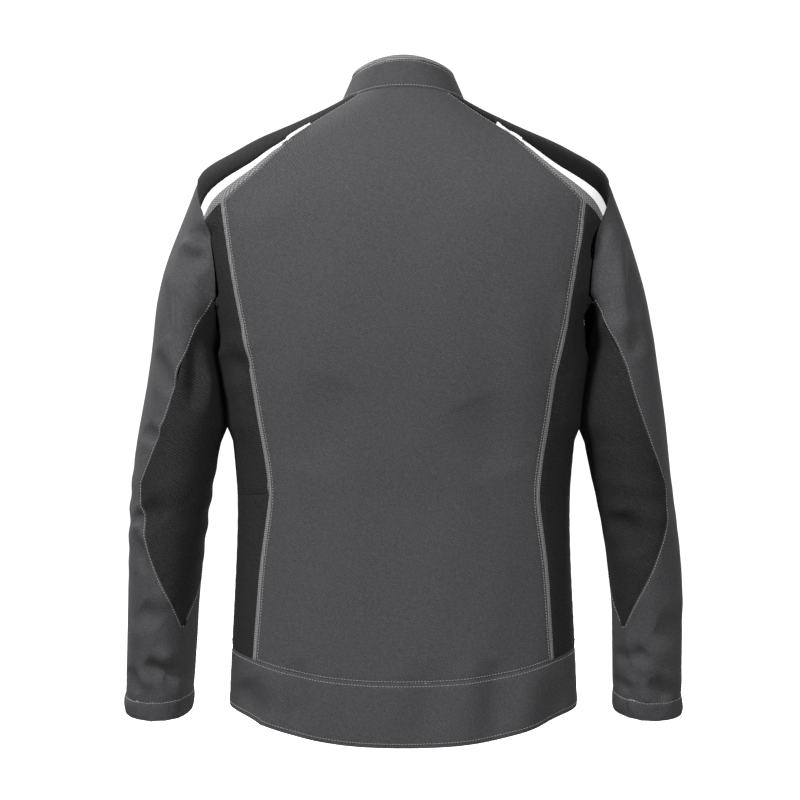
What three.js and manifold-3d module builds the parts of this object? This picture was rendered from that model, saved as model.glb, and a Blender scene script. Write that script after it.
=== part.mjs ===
// A zip-front work jacket with set-in sleeves, standing open as if worn.
// Millimetres, +Z up, front towards -Y, the wearer's left towards +X.
// The origin is the top of the hanger loop inside the back neck.
//
// The body and each sleeve are smooth lofted surfaces. Every cloth panel is a thin
// closed shell cut out of one of those surfaces along its seams, so that neighbouring
// panels share a seam line and keep the same gap to it.

import * as THREE from 'three';
import Module from 'manifold-3d';
import { mergeVertices } from 'three/addons/utils/BufferGeometryUtils.js';

// ---------------------------------------------------------------- driving dimensions

const chestWidth = 452;          // across the widest ring, under the shoulders
const bodyLength = 429;          // from the armpit down to the hem at the centre back
const sleeveLength = 388;        // from the armpit's height down to the cuff seam

const clothThickness = 1.6;      // one cloth panel
const seamInset = 0.3;           // each panel stops this far from its seam line
const creaseInset = 1.5;         // the same at the neck and armhole, where cloth turns
const underarmInset = 9;         // the same where the sleeve hangs close beside the body
const roundSeamInset = 0.5;      // the same along a sleeve, where the cloth is tightly curved
const jointInset = 0.6;          // the same where the shoulder or elbow bends

// Body rings from the collar to the hem: half width, height at the side, back and front,
// reach to the back, side line and squareness. The front reach follows the zip line.
const zipNeckY = -96;            // centre front at neck height
const zipHemY = -124;            // centre front at the hem
const frontNeckZ = -80;
const neckHalfWidth = 69;
const armpitZ = -287;
const collarTopRing = { w: 55.5, sideZ: 15, backZ: 31, frontZ: -38, backY: 38, sideY: -20, power: 2 };
const drawnRings = [
  { w: neckHalfWidth, sideZ: -16, backZ: -5, frontZ: frontNeckZ, backY: 48, sideY: -18, power: 2 },
  { w: 118, sideZ: -40.5, backZ: -42, frontZ: -112, backY: 74, sideY: -11, power: 2.05 },
  { w: 177, sideZ: -67.5, backZ: -88, frontZ: -150, backY: 98, sideY: -4, power: 2.15 },
  { w: 226, sideZ: -104, backZ: -140, frontZ: -195, backY: 114, sideY: 0, power: 2.35 },
  { w: 219, sideZ: -193, backZ: -215, frontZ: -250, backY: 121, sideY: 0, power: 2.6 },
  { w: 201, sideZ: -287, backZ: -300, frontZ: -318, backY: 119, sideY: 0, power: 2.65 },
  { w: 190.5, sideZ: -360, backZ: -370, frontZ: -378, backY: 111, sideY: 0, power: 2.6 },
  { w: 182.5, sideZ: -450, backZ: -450, frontZ: -448, backY: 104, sideY: 0, power: 2.5 },
  { w: 183.5, sideZ: -540, backZ: -550, frontZ: -535, backY: 105, sideY: 0, power: 2.45 },
  { w: 187.5, sideZ: -615, backZ: -647, frontZ: -604, backY: 109, sideY: 0, power: 2.4 },
  { w: 191.5, sideZ: -678, backZ: -716, frontZ: -668, backY: 112, sideY: 0, power: 2.4 },
];
const armpitLevel = 5;           // ring numbers that carry a seam or meet one
const waistLevel = 7;
const hemSeamLevel = 9;
const hemLevel = 10;

// Armhole, seen from the side: reach along Y and height, from the shoulder tip round the
// back to the armpit, and the same round the front.
const armholeBack = [
  [0, -104], [22, -112], [41, -136], [56, -160],
  [61, -195], [56, -235], [38, -270], [0, armpitZ],
];
const armholeFront = [
  [0, -104], [-24, -118], [-46, -152], [-56, -195],
  [-52, -235], [-36, -270], [0, armpitZ],
];

// Sleeve rings below the armhole: outer and inner point, centre along Y, half depth, and how
// far the back of the ring hangs below its middle.
const sleeveTopZ = -300;         // the sleeve is let out or taken in below this
const drawnSleeveRings = [
  { outer: [257, -190], inner: [210, -299], centreY: 1, depth: 70, drop: 0 },
  { outer: [270, -240], inner: [202.5, -331], centreY: 0, depth: 75, drop: 0 },
  { outer: [280, -305], inner: [196, -362], centreY: -1, depth: 75, drop: 0 },
  { outer: [288.5, -362], inner: [199, -392], centreY: -2, depth: 72, drop: 0 },
  { outer: [295.5, -420], inner: [205.5, -428], centreY: -4, depth: 70, drop: 0 },
  { outer: [301.5, -470], inner: [213.5, -470], centreY: -6, depth: 67, drop: 0 },
  { outer: [305.5, -525], inner: [222.5, -522], centreY: -9, depth: 63, drop: 3 },
  { outer: [307.2, -575], inner: [226.5, -570], centreY: -14, depth: 60, drop: 5 },
  { outer: [307.8, -625], inner: [229, -620], centreY: -20, depth: 57, drop: 7 },
  { outer: [308.5, -668], inner: [230.5, -664], centreY: -26, depth: 54, drop: 9 },
  { outer: [309.5, -688], inner: [231.5, -686], centreY: -28, depth: 53, drop: 9 },
];
const shoulderCut = 1;           // sleeve ring numbers, counting the armhole as 0
const elbowCut = 6;
const cuffSeam = 10;
const cuffEnd = 11;

// Seams on the back, as seen from behind: distance from the centre and height.
const neckCorner = [50, -12];
const yokeSeam = [neckCorner, [82, -33], [131, -65], [169, -93], [203, -114], [214, -123]];
const yokeSeamEndZ = -137;
const stripeSeam = [
  neckCorner, [82, -34], [108, -50.5], [134, -71.5],
  [168, -99], [200, -123.5], [208, -130],
];
const stripeSeamEndZ = -147;
const bandSeam = [neckCorner, [82, -34.5], [108, -51.5], [131, -71.5], [150, -90], [168, -106], [193, -130]];
const bandSeamEndZ = -152;
const princessUpper = [[193, -130], [189.5, -169], [184.5, -201], [171.5, -268], [154, -367], [142.3, -446]];
const princessLower = [[142.3, -446], [147, -479], [152.5, -513], [160.5, -626]];
const princessBandWidth = 5;
const stripeStart = 0.3;         // share of the yoke seam where the white stripe begins
const bandStart = 0.45;

// Seams on the front, as seen from the front.
const frontYokeSeam = [[58, -62], [100, -92], [150, -124], [190, -148]];
const frontYokeSeamEndZ = -160;
const frontPrincess = [
  [190, -148], [181, -205], [168, -290], [152, -380],
  [146, -450], [152, -540], [157, -607],
];

// Sleeve panels: the seam between the upper cloth and the elbow panel on the back of the
// sleeve, seen from behind, and the elbow panel's front edge as turns round the sleeve.
const elbowSeamUpper = [[201, -232], [220, -262], [240, -309], [249, -345], [270, -402], [289, -444]];
const elbowSeamLower = [[289, -444], [285.5, -470], [275, -512], [259, -551], [245, -579], [240, -594]];
const elbowFrontTurns = [0.34, 0.36, 0.365, 0.37, 0.375, 0.38, 0.385, 0.46];
const tipHalfTurn = 0.012;       // width of the elbow panel's point, as turns
const forearmSeamTurn = 0.645;   // where the lower sleeve seam runs down to the cuff

// Zip.
const toothRowWidth = 2.6;       // one row of teeth, across
const toothRowDepth = 2.2;
const toothRowGap = 1.6;         // between the two rows, where the slider's web runs
const zipEdge = 9;               // front edge of the cloth, from the centre
const tapeWidth = 15;            // one tape, from the teeth outwards
const tapeThickness = 0.8;
const tapeGap = 0.9;             // room between the front cloth and the tape inside it
const zipTop = -46;              // top of the teeth
const zipBottomRise = 13;        // bottom of the teeth, above the front hem
const sliderLength = 12;
const sliderWidth = 10;
const sliderBackWidth = 6.4;     // the back plate stays between the tapes
const sliderPlate = 1.4;
const sliderWeb = 0.8;
const sliderClearance = 0.5;
const sliderRestZ = -58;         // slider centre with the jacket closed
const pullLength = 34;
const pullWidth = 8;
const pullThickness = 1.6;
const pullPinDiameter = 1.6;
const stopLength = 5;

// Pockets on the front.
const pocketInnerX = 48;
const drawnPocketOuterX = 146;
const pocketTopZ = -222;
const pocketBottomZ = -340;
const flapTopZ = -212;
const flapBottomZ = -258;
const flapOverhang = 2;
const layerGap = 0.4;
const pocketGap = 0.9;           // room between a pocket and the cloth under it
const flapStandOff = 2.4;        // room for the snap between the pocket and its flap
const snapCapDiameter = 12;
const snapCapHeight = 1.8;
const snapStudDiameter = 8;
const weltWidth = 17;
const drawnWelt = { innerX: 74, outerX: 128, upperZ: -470, lowerZ: -570 };

// Collar and hanger.
const tapeInset = clothThickness / 2 + tapeGap + tapeThickness / 2;
const collarBandHeight = 4.6;    // light band along the collar's top edge
const collarLayerGap = 0.6;
const liningThickness = 1.2;
const facingWidth = 46;
const facingThickness = 1;
const facingSetBack = 3;         // the facing stops this far behind the front edge
const facingLevelRange = [0.25, 9.7];
const neckTapeWidth = 12;
const neckTapeThickness = 1;
const neckTapeTurn = 0.3;        // how far round the neck the tape runs, to each side
const neckTapeColumns = 10;
const loopWidth = 6;
const loopThickness = 1.2;
const loopSpan = 58;
const loopRise = 15;
const loopShoulder = 0.62;       // share of the rise a third of the span from the middle
const loopBaseZ = -6;
const loopStandOff = 15.5;       // from the neck seam forward to the loop

// ---------------------------------------------------------------- colours

const greyTwill = { color: 0x4b4b4e, roughness: 0.9, metalness: 0 };
const blackTwill = { color: 0x232325, roughness: 0.9, metalness: 0 };
const lightBand = { color: 0x8a8a8c, roughness: 0.85, metalness: 0 };
const reflective = { color: 0xe8e9ea, roughness: 0.4, metalness: 0 };
const zipCloth = { color: 0x1c1c1e, roughness: 0.95, metalness: 0 };
const zipPlastic = { color: 0x19191a, roughness: 0.5, metalness: 0 };
const darkMetal = { color: 0x5d5e61, roughness: 0.35, metalness: 1 };

const jacket = new THREE.Group();
const wasm = await Module();
wasm.setup();

// ---------------------------------------------------------------- grading

// Everything above is drawn for one size. The neck and the zip keep their own sizes when the
// chest gets wider, and the shoulders keep theirs when the body or the sleeves get longer.
const mix = (a, b, share) => a + (b - a) * share;
const widestRing = 3;
const drawnHalfChest = drawnRings[widestRing].w;
const drawnHemZ = drawnRings[drawnRings.length - 1].backZ;
const drawnCuffZ = drawnSleeveRings[drawnSleeveRings.length - 1].outer[1];
const widening = (chestWidth / 2 - neckHalfWidth) / (drawnHalfChest - neckHalfWidth);
const lengthening = bodyLength / (armpitZ - drawnHemZ);
const sleeveLengthening = sleeveLength / (sleeveTopZ - drawnCuffZ);

const gradedX = (x) => (x > neckHalfWidth ? neckHalfWidth + (x - neckHalfWidth) * widening : x);
const gradedZ = (z) => (z < armpitZ ? armpitZ + (z - armpitZ) * lengthening : z);
const graded = ([x, z]) => [gradedX(x), gradedZ(z)];
const gradedSleeveZ = (z) => (z < sleeveTopZ ? sleeveTopZ + (z - sleeveTopZ) * sleeveLengthening : z);

const bodyRings = drawnRings.map((ring) => ({
  ...ring,
  w: gradedX(ring.w),
  sideZ: gradedZ(ring.sideZ),
  backZ: gradedZ(ring.backZ),
  frontZ: gradedZ(ring.frontZ),
}));
const frontHemZ = bodyRings[bodyRings.length - 1].frontZ;
const zipBottom = frontHemZ + zipBottomRise;

// A sleeve ring keeps its own width and moves out with the body beside it.
const movedOut = (inner) => gradedX(inner[0]) - inner[0];
const sleeveRings = drawnSleeveRings.map((ring) => ({
  ...ring,
  outer: [ring.outer[0] + movedOut(ring.inner), gradedSleeveZ(ring.outer[1])],
  inner: [ring.inner[0] + movedOut(ring.inner), gradedSleeveZ(ring.inner[1])],
}));
function gradedOnSleeve([x, z]) {
  const below = drawnSleeveRings.findIndex((ring) => ring.inner[1] < z);
  const ring = drawnSleeveRings[below < 0 ? drawnSleeveRings.length - 1 : below];
  return [x + movedOut(ring.inner), gradedSleeveZ(z)];
}

const pocketOuterX = gradedX(drawnPocketOuterX);
const welt = {
  innerX: gradedX(drawnWelt.innerX),
  outerX: gradedX(drawnWelt.outerX),
  upperZ: gradedZ(drawnWelt.upperZ),
  lowerZ: gradedZ(drawnWelt.lowerZ),
};

// ---------------------------------------------------------------- surfaces

function zipLineY(z) {
  return mix(zipNeckY, zipHemY, (z - frontNeckZ) / (frontHemZ - frontNeckZ));
}

// turn: 0 at the centre back, 0.5 at the side, 1 at the centre front.
function bodyRingPoint(ring, turn) {
  const sine = Math.sin(Math.PI * turn);
  const cosine = Math.cos(Math.PI * turn);
  const bend = 2 / ring.power;
  const endY = cosine > 0 ? ring.backY : zipLineY(ring.frontZ);
  const endZ = cosine > 0 ? ring.backZ : ring.frontZ;
  return new THREE.Vector3(
    Math.sign(sine) * Math.abs(sine) ** bend * ring.w,
    mix(ring.sideY, endY, Math.abs(cosine) ** bend),
    mix(ring.sideZ, endZ, cosine * cosine),
  );
}

// A smooth curve through the rings, which stays straight where their points are in line.
function throughRings(points, level) {
  const last = points.length - 1;
  const start = Math.min(Math.max(Math.floor(level), 0), last - 1);
  const share = level - start;
  const b = points[start];
  const c = points[start + 1];
  const a = start > 0 ? points[start - 1] : b.clone().multiplyScalar(2).sub(c);
  const d = start + 2 <= last ? points[start + 2] : c.clone().multiplyScalar(2).sub(b);
  const before = c.clone().sub(a).multiplyScalar(0.5);
  const after = d.clone().sub(b).multiplyScalar(0.5);
  const square = share * share;
  const cube = square * share;
  return b.clone().multiplyScalar(2 * cube - 3 * square + 1)
    .addScaledVector(before, cube - 2 * square + share)
    .addScaledVector(c, 3 * square - 2 * cube)
    .addScaledVector(after, cube - square);
}

// level: 0 at the neck seam, one more at each ring below; -1 is the collar's top edge.
function bodySurface(turn, level) {
  if (level < 0) {
    return bodyRingPoint(bodyRings[0], turn).lerp(bodyRingPoint(collarTopRing, turn), -level);
  }
  return throughRings(bodyRings.map((ring) => bodyRingPoint(ring, turn)), level);
}

// The place on a surface that best meets a wish: a coarse search, then ever smaller steps.
function locate(surface, miss, turns, levels) {
  const cells = 28;
  let best = { miss: Infinity };
  const consider = (turn, level) => {
    const now = miss(surface(turn, level));
    if (now < best.miss) best = { turn, level, miss: now };
  };
  for (let i = 0; i <= cells; i++) {
    for (let j = 0; j <= cells; j++) consider(mix(...turns, i / cells), mix(...levels, j / cells));
  }
  let stepTurn = (turns[1] - turns[0]) / cells;
  let stepLevel = (levels[1] - levels[0]) / cells;
  for (let round = 0; round < 30; round++) {
    const from = best;
    for (const [dt, dl] of [[1, 0], [-1, 0], [0, 1], [0, -1], [1, 1], [1, -1], [-1, 1], [-1, -1]]) {
      const turn = Math.min(Math.max(from.turn + dt * stepTurn, turns[0]), turns[1]);
      const level = Math.min(Math.max(from.level + dl * stepLevel, levels[0]), levels[1]);
      consider(turn, level);
    }
    if (best === from) {
      stepTurn /= 2;
      stepLevel /= 2;
    }
  }
  return [best.turn, best.level];
}

const onBack = ([x, z], levels = [0, hemLevel]) => locate(
  bodySurface, (p) => (p.x - x) ** 2 + (p.z - z) ** 2, [0, 0.5], levels);
const onFront = ([x, z], levels = [0, hemLevel]) => locate(
  bodySurface, (p) => (p.x - x) ** 2 + (p.z - z) ** 2, [0.5, 1], levels);
const onSide = ([y, z]) => locate(
  bodySurface, (p) => (p.y - y) ** 2 + (p.z - z) ** 2, [0.25, 0.75], [2.5, 5.4]);

// A smooth run of count + 1 places through chosen ones, evenly spread by length.
function seam(places, count) {
  const marks = places.map(([turn, level]) => new THREE.Vector3(turn * 10, level, 0));
  const curve = new THREE.CatmullRomCurve3(marks);
  return curve.getSpacedPoints(count).map((p) => [p.x / 10, p.y]);
}

const armholeCurve = (outline) => new THREE.CatmullRomCurve3(
  outline.map(onSide).map(([turn, level]) => bodySurface(turn, level)));
const armholes = { back: armholeCurve(armholeBack), front: armholeCurve(armholeFront) };

// Sleeve: turn 0 is the outer line, 0.25 the front, 0.5 the inner line and 0.75 the back.
function sleeveRingPoint(ring, turn) {
  const across = Math.cos(2 * Math.PI * turn);
  const along = -Math.sin(2 * Math.PI * turn);
  const x = mix(ring.inner[0], ring.outer[0], (1 + across) / 2);
  const z = mix(ring.inner[1], ring.outer[1], (1 + across) / 2) - ring.drop * along;
  return new THREE.Vector3(x, ring.centreY + ring.depth * along, z);
}

function armholePoint(turn) {
  const wrapped = turn - Math.floor(turn);
  const share = wrapped <= 0.5 ? wrapped * 2 : (1 - wrapped) * 2;
  return (wrapped <= 0.5 ? armholes.front : armholes.back).getPointAt(share);
}

function sleeveSurface(turn, level) {
  const points = [armholePoint(turn), ...sleeveRings.map((ring) => sleeveRingPoint(ring, turn))];
  return throughRings(points, level);
}

const onSleeveBack = ([x, z]) => locate(
  sleeveSurface, (p) => (p.x - x) ** 2 + (p.z - z) ** 2, [0.5, 1], [0, cuffEnd]);

// ---------------------------------------------------------------- shells

function normalAt(surface, turn, level, low, high) {
  const step = 1e-3;
  const before = Math.max(level - step, low);
  const after = Math.min(level + step, high);
  const alongTurn = surface(turn + step, level).sub(surface(turn - step, level));
  const alongLevel = surface(turn, after).sub(surface(turn, before));
  return alongTurn.cross(alongLevel).normalize();
}

// Moves the outermost places of a grid inwards by the insets for its four edges.
function insetGrid(surface, grid, insets) {
  const pull = (edge, inside, inset) => {
    const length = surface(...edge).distanceTo(surface(...inside));
    const share = Math.min(inset / length, 0.45);
    return [mix(edge[0], inside[0], share), mix(edge[1], inside[1], share)];
  };
  const last = grid.length - 1;
  const rows = grid.map((row) => row.slice());
  rows[0] = rows[0].map((place, j) => pull(place, grid[1][j], insets.top));
  rows[last] = rows[last].map((place, j) => pull(place, grid[last - 1][j], insets.bottom));
  for (const row of rows) {
    const end = row.length - 1;
    const second = row[1];
    const secondLast = row[end - 1];
    row[0] = pull(row[0], second, insets.left);
    row[end] = pull(row[end], secondLast, insets.right);
  }
  return rows;
}

function closedShell(outer, inner) {
  const rows = outer.length;
  const columns = outer[0].length;
  const corners = [...outer.flat(), ...inner.flat()];
  const place = (side, i, j) => side * rows * columns + i * columns + j;
  const index = [];
  const quad = (a, b, c, d) => index.push(a, b, c, a, c, d);
  for (let i = 0; i + 1 < rows; i++) {
    for (let j = 0; j + 1 < columns; j++) {
      quad(place(0, i, j), place(0, i, j + 1), place(0, i + 1, j + 1), place(0, i + 1, j));
      quad(place(1, i + 1, j), place(1, i + 1, j + 1), place(1, i, j + 1), place(1, i, j));
    }
  }
  for (let j = 0; j + 1 < columns; j++) {
    quad(place(0, 0, j + 1), place(0, 0, j), place(1, 0, j), place(1, 0, j + 1));
    quad(place(0, rows - 1, j), place(0, rows - 1, j + 1), place(1, rows - 1, j + 1), place(1, rows - 1, j));
  }
  for (let i = 0; i + 1 < rows; i++) {
    quad(place(0, i, 0), place(0, i + 1, 0), place(1, i + 1, 0), place(1, i, 0));
    const last = columns - 1;
    quad(place(0, i + 1, last), place(0, i, last), place(1, i, last), place(1, i + 1, last));
  }
  const geometry = new THREE.BufferGeometry();
  geometry.setAttribute('position', new THREE.Float32BufferAttribute(corners.flatMap((p) => p.toArray()), 3));
  geometry.setIndex(index);
  return geometry;
}

const evenInsets = { top: seamInset, bottom: seamInset, left: seamInset, right: seamInset };

// A cloth panel over a grid of places. lift moves it out of the surface.
function panel(surface, grid, options = {}) {
  const { lift = 0, thickness = clothThickness, insets = {}, levels = [-1, cuffEnd] } = options;
  const places = insetGrid(surface, grid, { ...evenInsets, ...insets });
  const offset = (amount) => places.map((row) => row.map(([turn, level]) => (
    surface(turn, level).addScaledVector(normalAt(surface, turn, level, ...levels), amount))));
  return closedShell(offset(lift + thickness / 2), offset(lift - thickness / 2));
}

// Rows between two side edges that have the same number of places.
function between(left, right, columns) {
  return left.map((start, i) => Array.from({ length: columns + 1 }, (_, j) => (
    [mix(start[0], right[i][0], j / columns), mix(start[1], right[i][1], j / columns)])));
}

// A four-sided patch: top and bottom run from left to right, left and right from the top.
function fourSided(top, bottom, left, right) {
  const rows = left.length - 1;
  const columns = top.length - 1;
  const corner = (axis, s, t) => mix(
    mix(top[0][axis], top[columns][axis], s), mix(bottom[0][axis], bottom[columns][axis], s), t);
  const value = (axis, i, j) => {
    const s = j / columns;
    const t = i / rows;
    return mix(top[j][axis], bottom[j][axis], t) + mix(left[i][axis], right[i][axis], s) - corner(axis, s, t);
  };
  return left.map((_, i) => top.map((__, j) => [value(0, i, j), value(1, i, j)]));
}

function mirrored(geometry) {
  const other = geometry.index ? geometry.toNonIndexed() : geometry.clone();
  other.scale(-1, 1, 1);
  const position = other.attributes.position;
  for (let i = 0; i < position.count; i += 3) {
    const a = new THREE.Vector3().fromBufferAttribute(position, i);
    const b = new THREE.Vector3().fromBufferAttribute(position, i + 1);
    position.setXYZ(i, b.x, b.y, b.z);
    position.setXYZ(i + 1, a.x, a.y, a.z);
  }
  return other;
}

function add(name, geometry, finish) {
  const mesh = new THREE.Mesh(geometry, new THREE.MeshStandardMaterial(finish));
  mesh.name = name;
  jacket.add(mesh);
  return mesh;
}

function addPair(name, geometry, finish) {
  add(`${name}_left`, geometry, finish);
  add(`${name}_right`, mirrored(geometry), finish);
}

// ---------------------------------------------------------------- body seams

// Places along the armhole between two heights, on its back or its front.
function armholeRun(side, fromZ, toZ, count) {
  const curve = armholes[side];
  const shareAt = (z) => {
    let low = 0;
    let high = 1;
    for (let i = 0; i < 40; i++) {
      const middle = (low + high) / 2;
      if (curve.getPointAt(middle).z > z) low = middle;
      else high = middle;
    }
    return (low + high) / 2;
  };
  const from = shareAt(fromZ);
  const to = shareAt(toZ);
  return Array.from({ length: count + 1 }, (_, i) => {
    const p = curve.getPointAt(mix(from, to, i / count));
    return onSide([p.y, p.z]);
  });
}

const tipZ = armholeBack[0][1];
const [neckTurn] = onBack(neckCorner, [0, 0.2]);
const [frontNeckTurn] = onFront(frontYokeSeam[0], [0, 0.2]);
const seamSteps = 10;
const armholeAt = (side, z) => armholeRun(side, z, z, 1)[0];

const yokeEdge = seam([[neckTurn, 0], ...yokeSeam.slice(1).map((p) => onBack(graded(p))),
  armholeAt('back', yokeSeamEndZ)], seamSteps);
const stripeEdge = seam([[neckTurn, 0], ...stripeSeam.slice(1).map((p) => onBack(graded(p))),
  armholeAt('back', stripeSeamEndZ)], seamSteps);
const bandEdge = seam([[neckTurn, 0], ...bandSeam.slice(1).map((p) => onBack(graded(p)))], seamSteps);

// From the end of a seam straight on to the armhole.
const alongTail = (from, to, share) => [mix(from[0], to[0], share), mix(from[1], to[1], share)];
const bandCorner = bandEdge[seamSteps];
const bandEnd = armholeAt('back', bandSeamEndZ);
const bandTail = [1 / 3, 2 / 3, 1].map((share) => alongTail(bandCorner, bandEnd, share));
const tailSteps = 2;
const frontCornerEdge = seam([[frontNeckTurn, 0], ...frontYokeSeam.slice(1).map((p) => onFront(graded(p)))],
  seamSteps - tailSteps);
const frontCorner = frontCornerEdge.at(-1);
const frontEnd = armholeAt('front', frontYokeSeamEndZ);
const frontYokeEdge = [...frontCornerEdge, alongTail(frontCorner, frontEnd, 1 / tailSteps), frontEnd];

// The shell's cut edges follow the same surface, so a parallel line is a shift in turn.
function shiftedAcross(places, distance) {
  return places.map(([turn, level]) => {
    const step = 1e-3;
    const perTurn = bodySurface(turn + step, level).distanceTo(bodySurface(turn, level)) / step;
    return [turn + distance / perTurn, level];
  });
}

const upperSteps = 9;
const lowerSteps = 5;
const princessTop = seam(princessUpper.map((p) => onBack(graded(p))), upperSteps);
const princessBottom = seam(princessLower.map((p) => onBack(graded(p))), lowerSteps);
princessBottom[lowerSteps][1] = hemSeamLevel;
const princess = [...princessTop, ...princessBottom.slice(1)];
const bandInner = shiftedAcross(princess, -princessBandWidth / 2);
const bandOuter = shiftedAcross(princess, princessBandWidth / 2);
const tailLength = bodySurface(...bandCorner).distanceTo(bodySurface(...bandEnd));
bandInner[0] = bandCorner;
bandOuter[0] = alongTail(bandCorner, bandEnd, princessBandWidth / tailLength);

// ---------------------------------------------------------------- back

const bodyLevels = [0, hemLevel];
const neckInsets = { top: creaseInset };

const backEdge = [...bandEdge.slice(0, seamSteps), ...bandInner];
const backColumns = 10;
const backGrid = backEdge.map(([turn, level]) => Array.from({ length: backColumns + 1 }, (_, j) => (
  [mix(-turn, turn, j / backColumns), level])));
add('back_panel', panel(bodySurface, backGrid, { insets: neckInsets, levels: bodyLevels }), greyTwill);

const princessBandRows = between(bandInner, bandOuter, 1);
addPair('princess_band', panel(bodySurface, princessBandRows, { levels: bodyLevels }), lightBand);

// Strips along the back of the shoulder: the white stripe and the light band below it.
function stripBetween(lower, upper, startShare) {
  const first = Math.ceil(startShare * seamSteps);
  return between(lower.slice(first), upper.slice(first), 1);
}
const armholeEnd = { bottom: creaseInset };
addPair('shoulder_stripe', panel(bodySurface, stripBetween(stripeEdge, yokeEdge, stripeStart),
  { insets: { ...armholeEnd, left: 2 * seamInset }, levels: bodyLevels }), reflective);

const bandFirst = Math.ceil(bandStart * seamSteps);
const bandLowerEdge = [...bandEdge.slice(bandFirst), ...bandTail];
const bandUpperEdge = seam(stripeEdge.slice(bandFirst), bandLowerEdge.length - 1);
addPair('shoulder_band', panel(bodySurface, between(bandLowerEdge, bandUpperEdge, 1),
  { insets: { ...armholeEnd, right: 3 * seamInset }, levels: bodyLevels }), lightBand);

// Yoke, from the white stripe over the shoulder to the front.
const yokeColumns = 8;
const neckEdge = Array.from({ length: yokeColumns + 1 }, (_, j) => (
  [mix(neckTurn, frontNeckTurn, j / yokeColumns), 0]));
const overTip = [...armholeRun('back', yokeSeamEndZ, tipZ, yokeColumns / 2),
  ...armholeRun('front', tipZ, frontYokeSeamEndZ, yokeColumns / 2).slice(1)];
const yokeInsets = { top: creaseInset, bottom: creaseInset, right: 2 * seamInset };
addPair('yoke', panel(bodySurface, fourSided(neckEdge, overTip, yokeEdge, frontYokeEdge),
  { insets: yokeInsets, levels: bodyLevels }), blackTwill);

// Side panels: beside the armhole, under the arm to the side seam, and down to the hem.
const sideColumns = 4;
const sideSeamUpper = [];
const sideArmholeSteps = 6;
const sideArmhole = armholeRun('back', bandSeamEndZ, armpitZ, sideArmholeSteps);
const waistSteps = upperSteps - sideArmholeSteps;
for (let i = 1; i <= waistSteps; i++) sideSeamUpper.push([0.5, mix(armpitLevel, waistLevel, i / waistSteps)]);
const sideUpperRight = [...sideArmhole, ...sideSeamUpper];
const sideUpperLeft = bandOuter.slice(0, upperSteps + 1);
addPair('side_panel_upper', panel(bodySurface, between(sideUpperLeft, sideUpperRight, sideColumns),
  { insets: { right: creaseInset }, levels: bodyLevels }), blackTwill);

const sideLowerLeft = bandOuter.slice(upperSteps);
const sideLowerRight = sideLowerLeft.map((_, i) => [0.5, mix(waistLevel, hemSeamLevel, i / lowerSteps)]);
addPair('side_panel_lower', panel(bodySurface, between(sideLowerLeft, sideLowerRight, sideColumns),
  { levels: bodyLevels }), blackTwill);

// ---------------------------------------------------------------- front

// The places at a distance from the centre front, at the given levels.
function besideZip(distance, levels) {
  return levels.map((level) => {
    let low = 0.8;
    let high = 1;
    for (let i = 0; i < 40; i++) {
      const middle = (low + high) / 2;
      if (bodySurface(middle, level).x > distance) low = middle;
      else high = middle;
    }
    return [(low + high) / 2, level];
  });
}

const frontSteps = 11;
const frontPrincessEdge = seam(frontPrincess.map((p) => onFront(graded(p))), frontSteps);
frontPrincessEdge[0] = frontCorner;
frontPrincessEdge[frontSteps][1] = hemSeamLevel;
const frontLeft = [...frontCornerEdge.slice(0, -1), ...frontPrincessEdge];
const zipRowLevels = frontLeft.map((_, i) => mix(0, hemSeamLevel, (i / (frontLeft.length - 1)) ** 1.2));
const frontRight = besideZip(zipEdge, zipRowLevels);
const frontColumns = 8;
const frontNeck = Array.from({ length: frontColumns + 1 }, (_, j) => (
  [mix(frontLeft[0][0], frontRight[0][0], j / frontColumns), 0]));
const frontBottom = Array.from({ length: frontColumns + 1 }, (_, j) => (
  [mix(frontLeft.at(-1)[0], frontRight.at(-1)[0], j / frontColumns), hemSeamLevel]));
addPair('front_panel', panel(bodySurface, fourSided(frontNeck, frontBottom, frontLeft, frontRight),
  { insets: { top: creaseInset }, levels: bodyLevels }), greyTwill);

const frontArmholeSteps = 5;
const frontArmhole = armholeRun('front', frontYokeSeamEndZ, armpitZ, frontArmholeSteps);
const frontSideSteps = frontSteps - frontArmholeSteps;
const frontSideSeam = Array.from({ length: frontSideSteps }, (_, i) => (
  [0.5, mix(armpitLevel, hemSeamLevel, (i + 1) / frontSideSteps)]));
const frontSideLeft = [...frontArmhole, ...frontSideSeam];
addPair('front_side_panel', panel(bodySurface, between(frontSideLeft, frontPrincessEdge, 4),
  { insets: { left: creaseInset }, levels: bodyLevels }), blackTwill);

// Facings inside both front edges.
const facingRows = 8;
const facingSteps = Array.from({ length: facingRows + 1 }, (_, i) => i / facingRows);
const facingLevels = facingSteps.map((t) => mix(...facingLevelRange, t));
const insideTapeLift = -(clothThickness + tapeInset + tapeThickness + layerGap);
addPair('front_facing', panel(bodySurface,
  between(besideZip(facingWidth, facingLevels), besideZip(zipEdge + facingSetBack, facingLevels), 3),
  { lift: insideTapeLift, thickness: facingThickness, levels: bodyLevels }), blackTwill);

// ---------------------------------------------------------------- hem

const hemRows = [hemSeamLevel, mix(hemSeamLevel, hemLevel, 0.5), hemLevel];
const hemRow = (level, from, to, columns) => Array.from({ length: columns + 1 }, (_, j) => (
  [mix(from, to, j / columns), level]));
add('hem_band_back', panel(bodySurface, hemRows.map((level) => hemRow(level, -0.5, 0.5, 20)),
  { levels: bodyLevels }), greyTwill);
const hemFrontEnd = besideZip(zipEdge, hemRows);
addPair('hem_band_front', panel(bodySurface,
  hemRows.map((level, i) => hemRow(level, 0.5, hemFrontEnd[i][0], 9)), { levels: bodyLevels }), greyTwill);

// ---------------------------------------------------------------- collar

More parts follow.
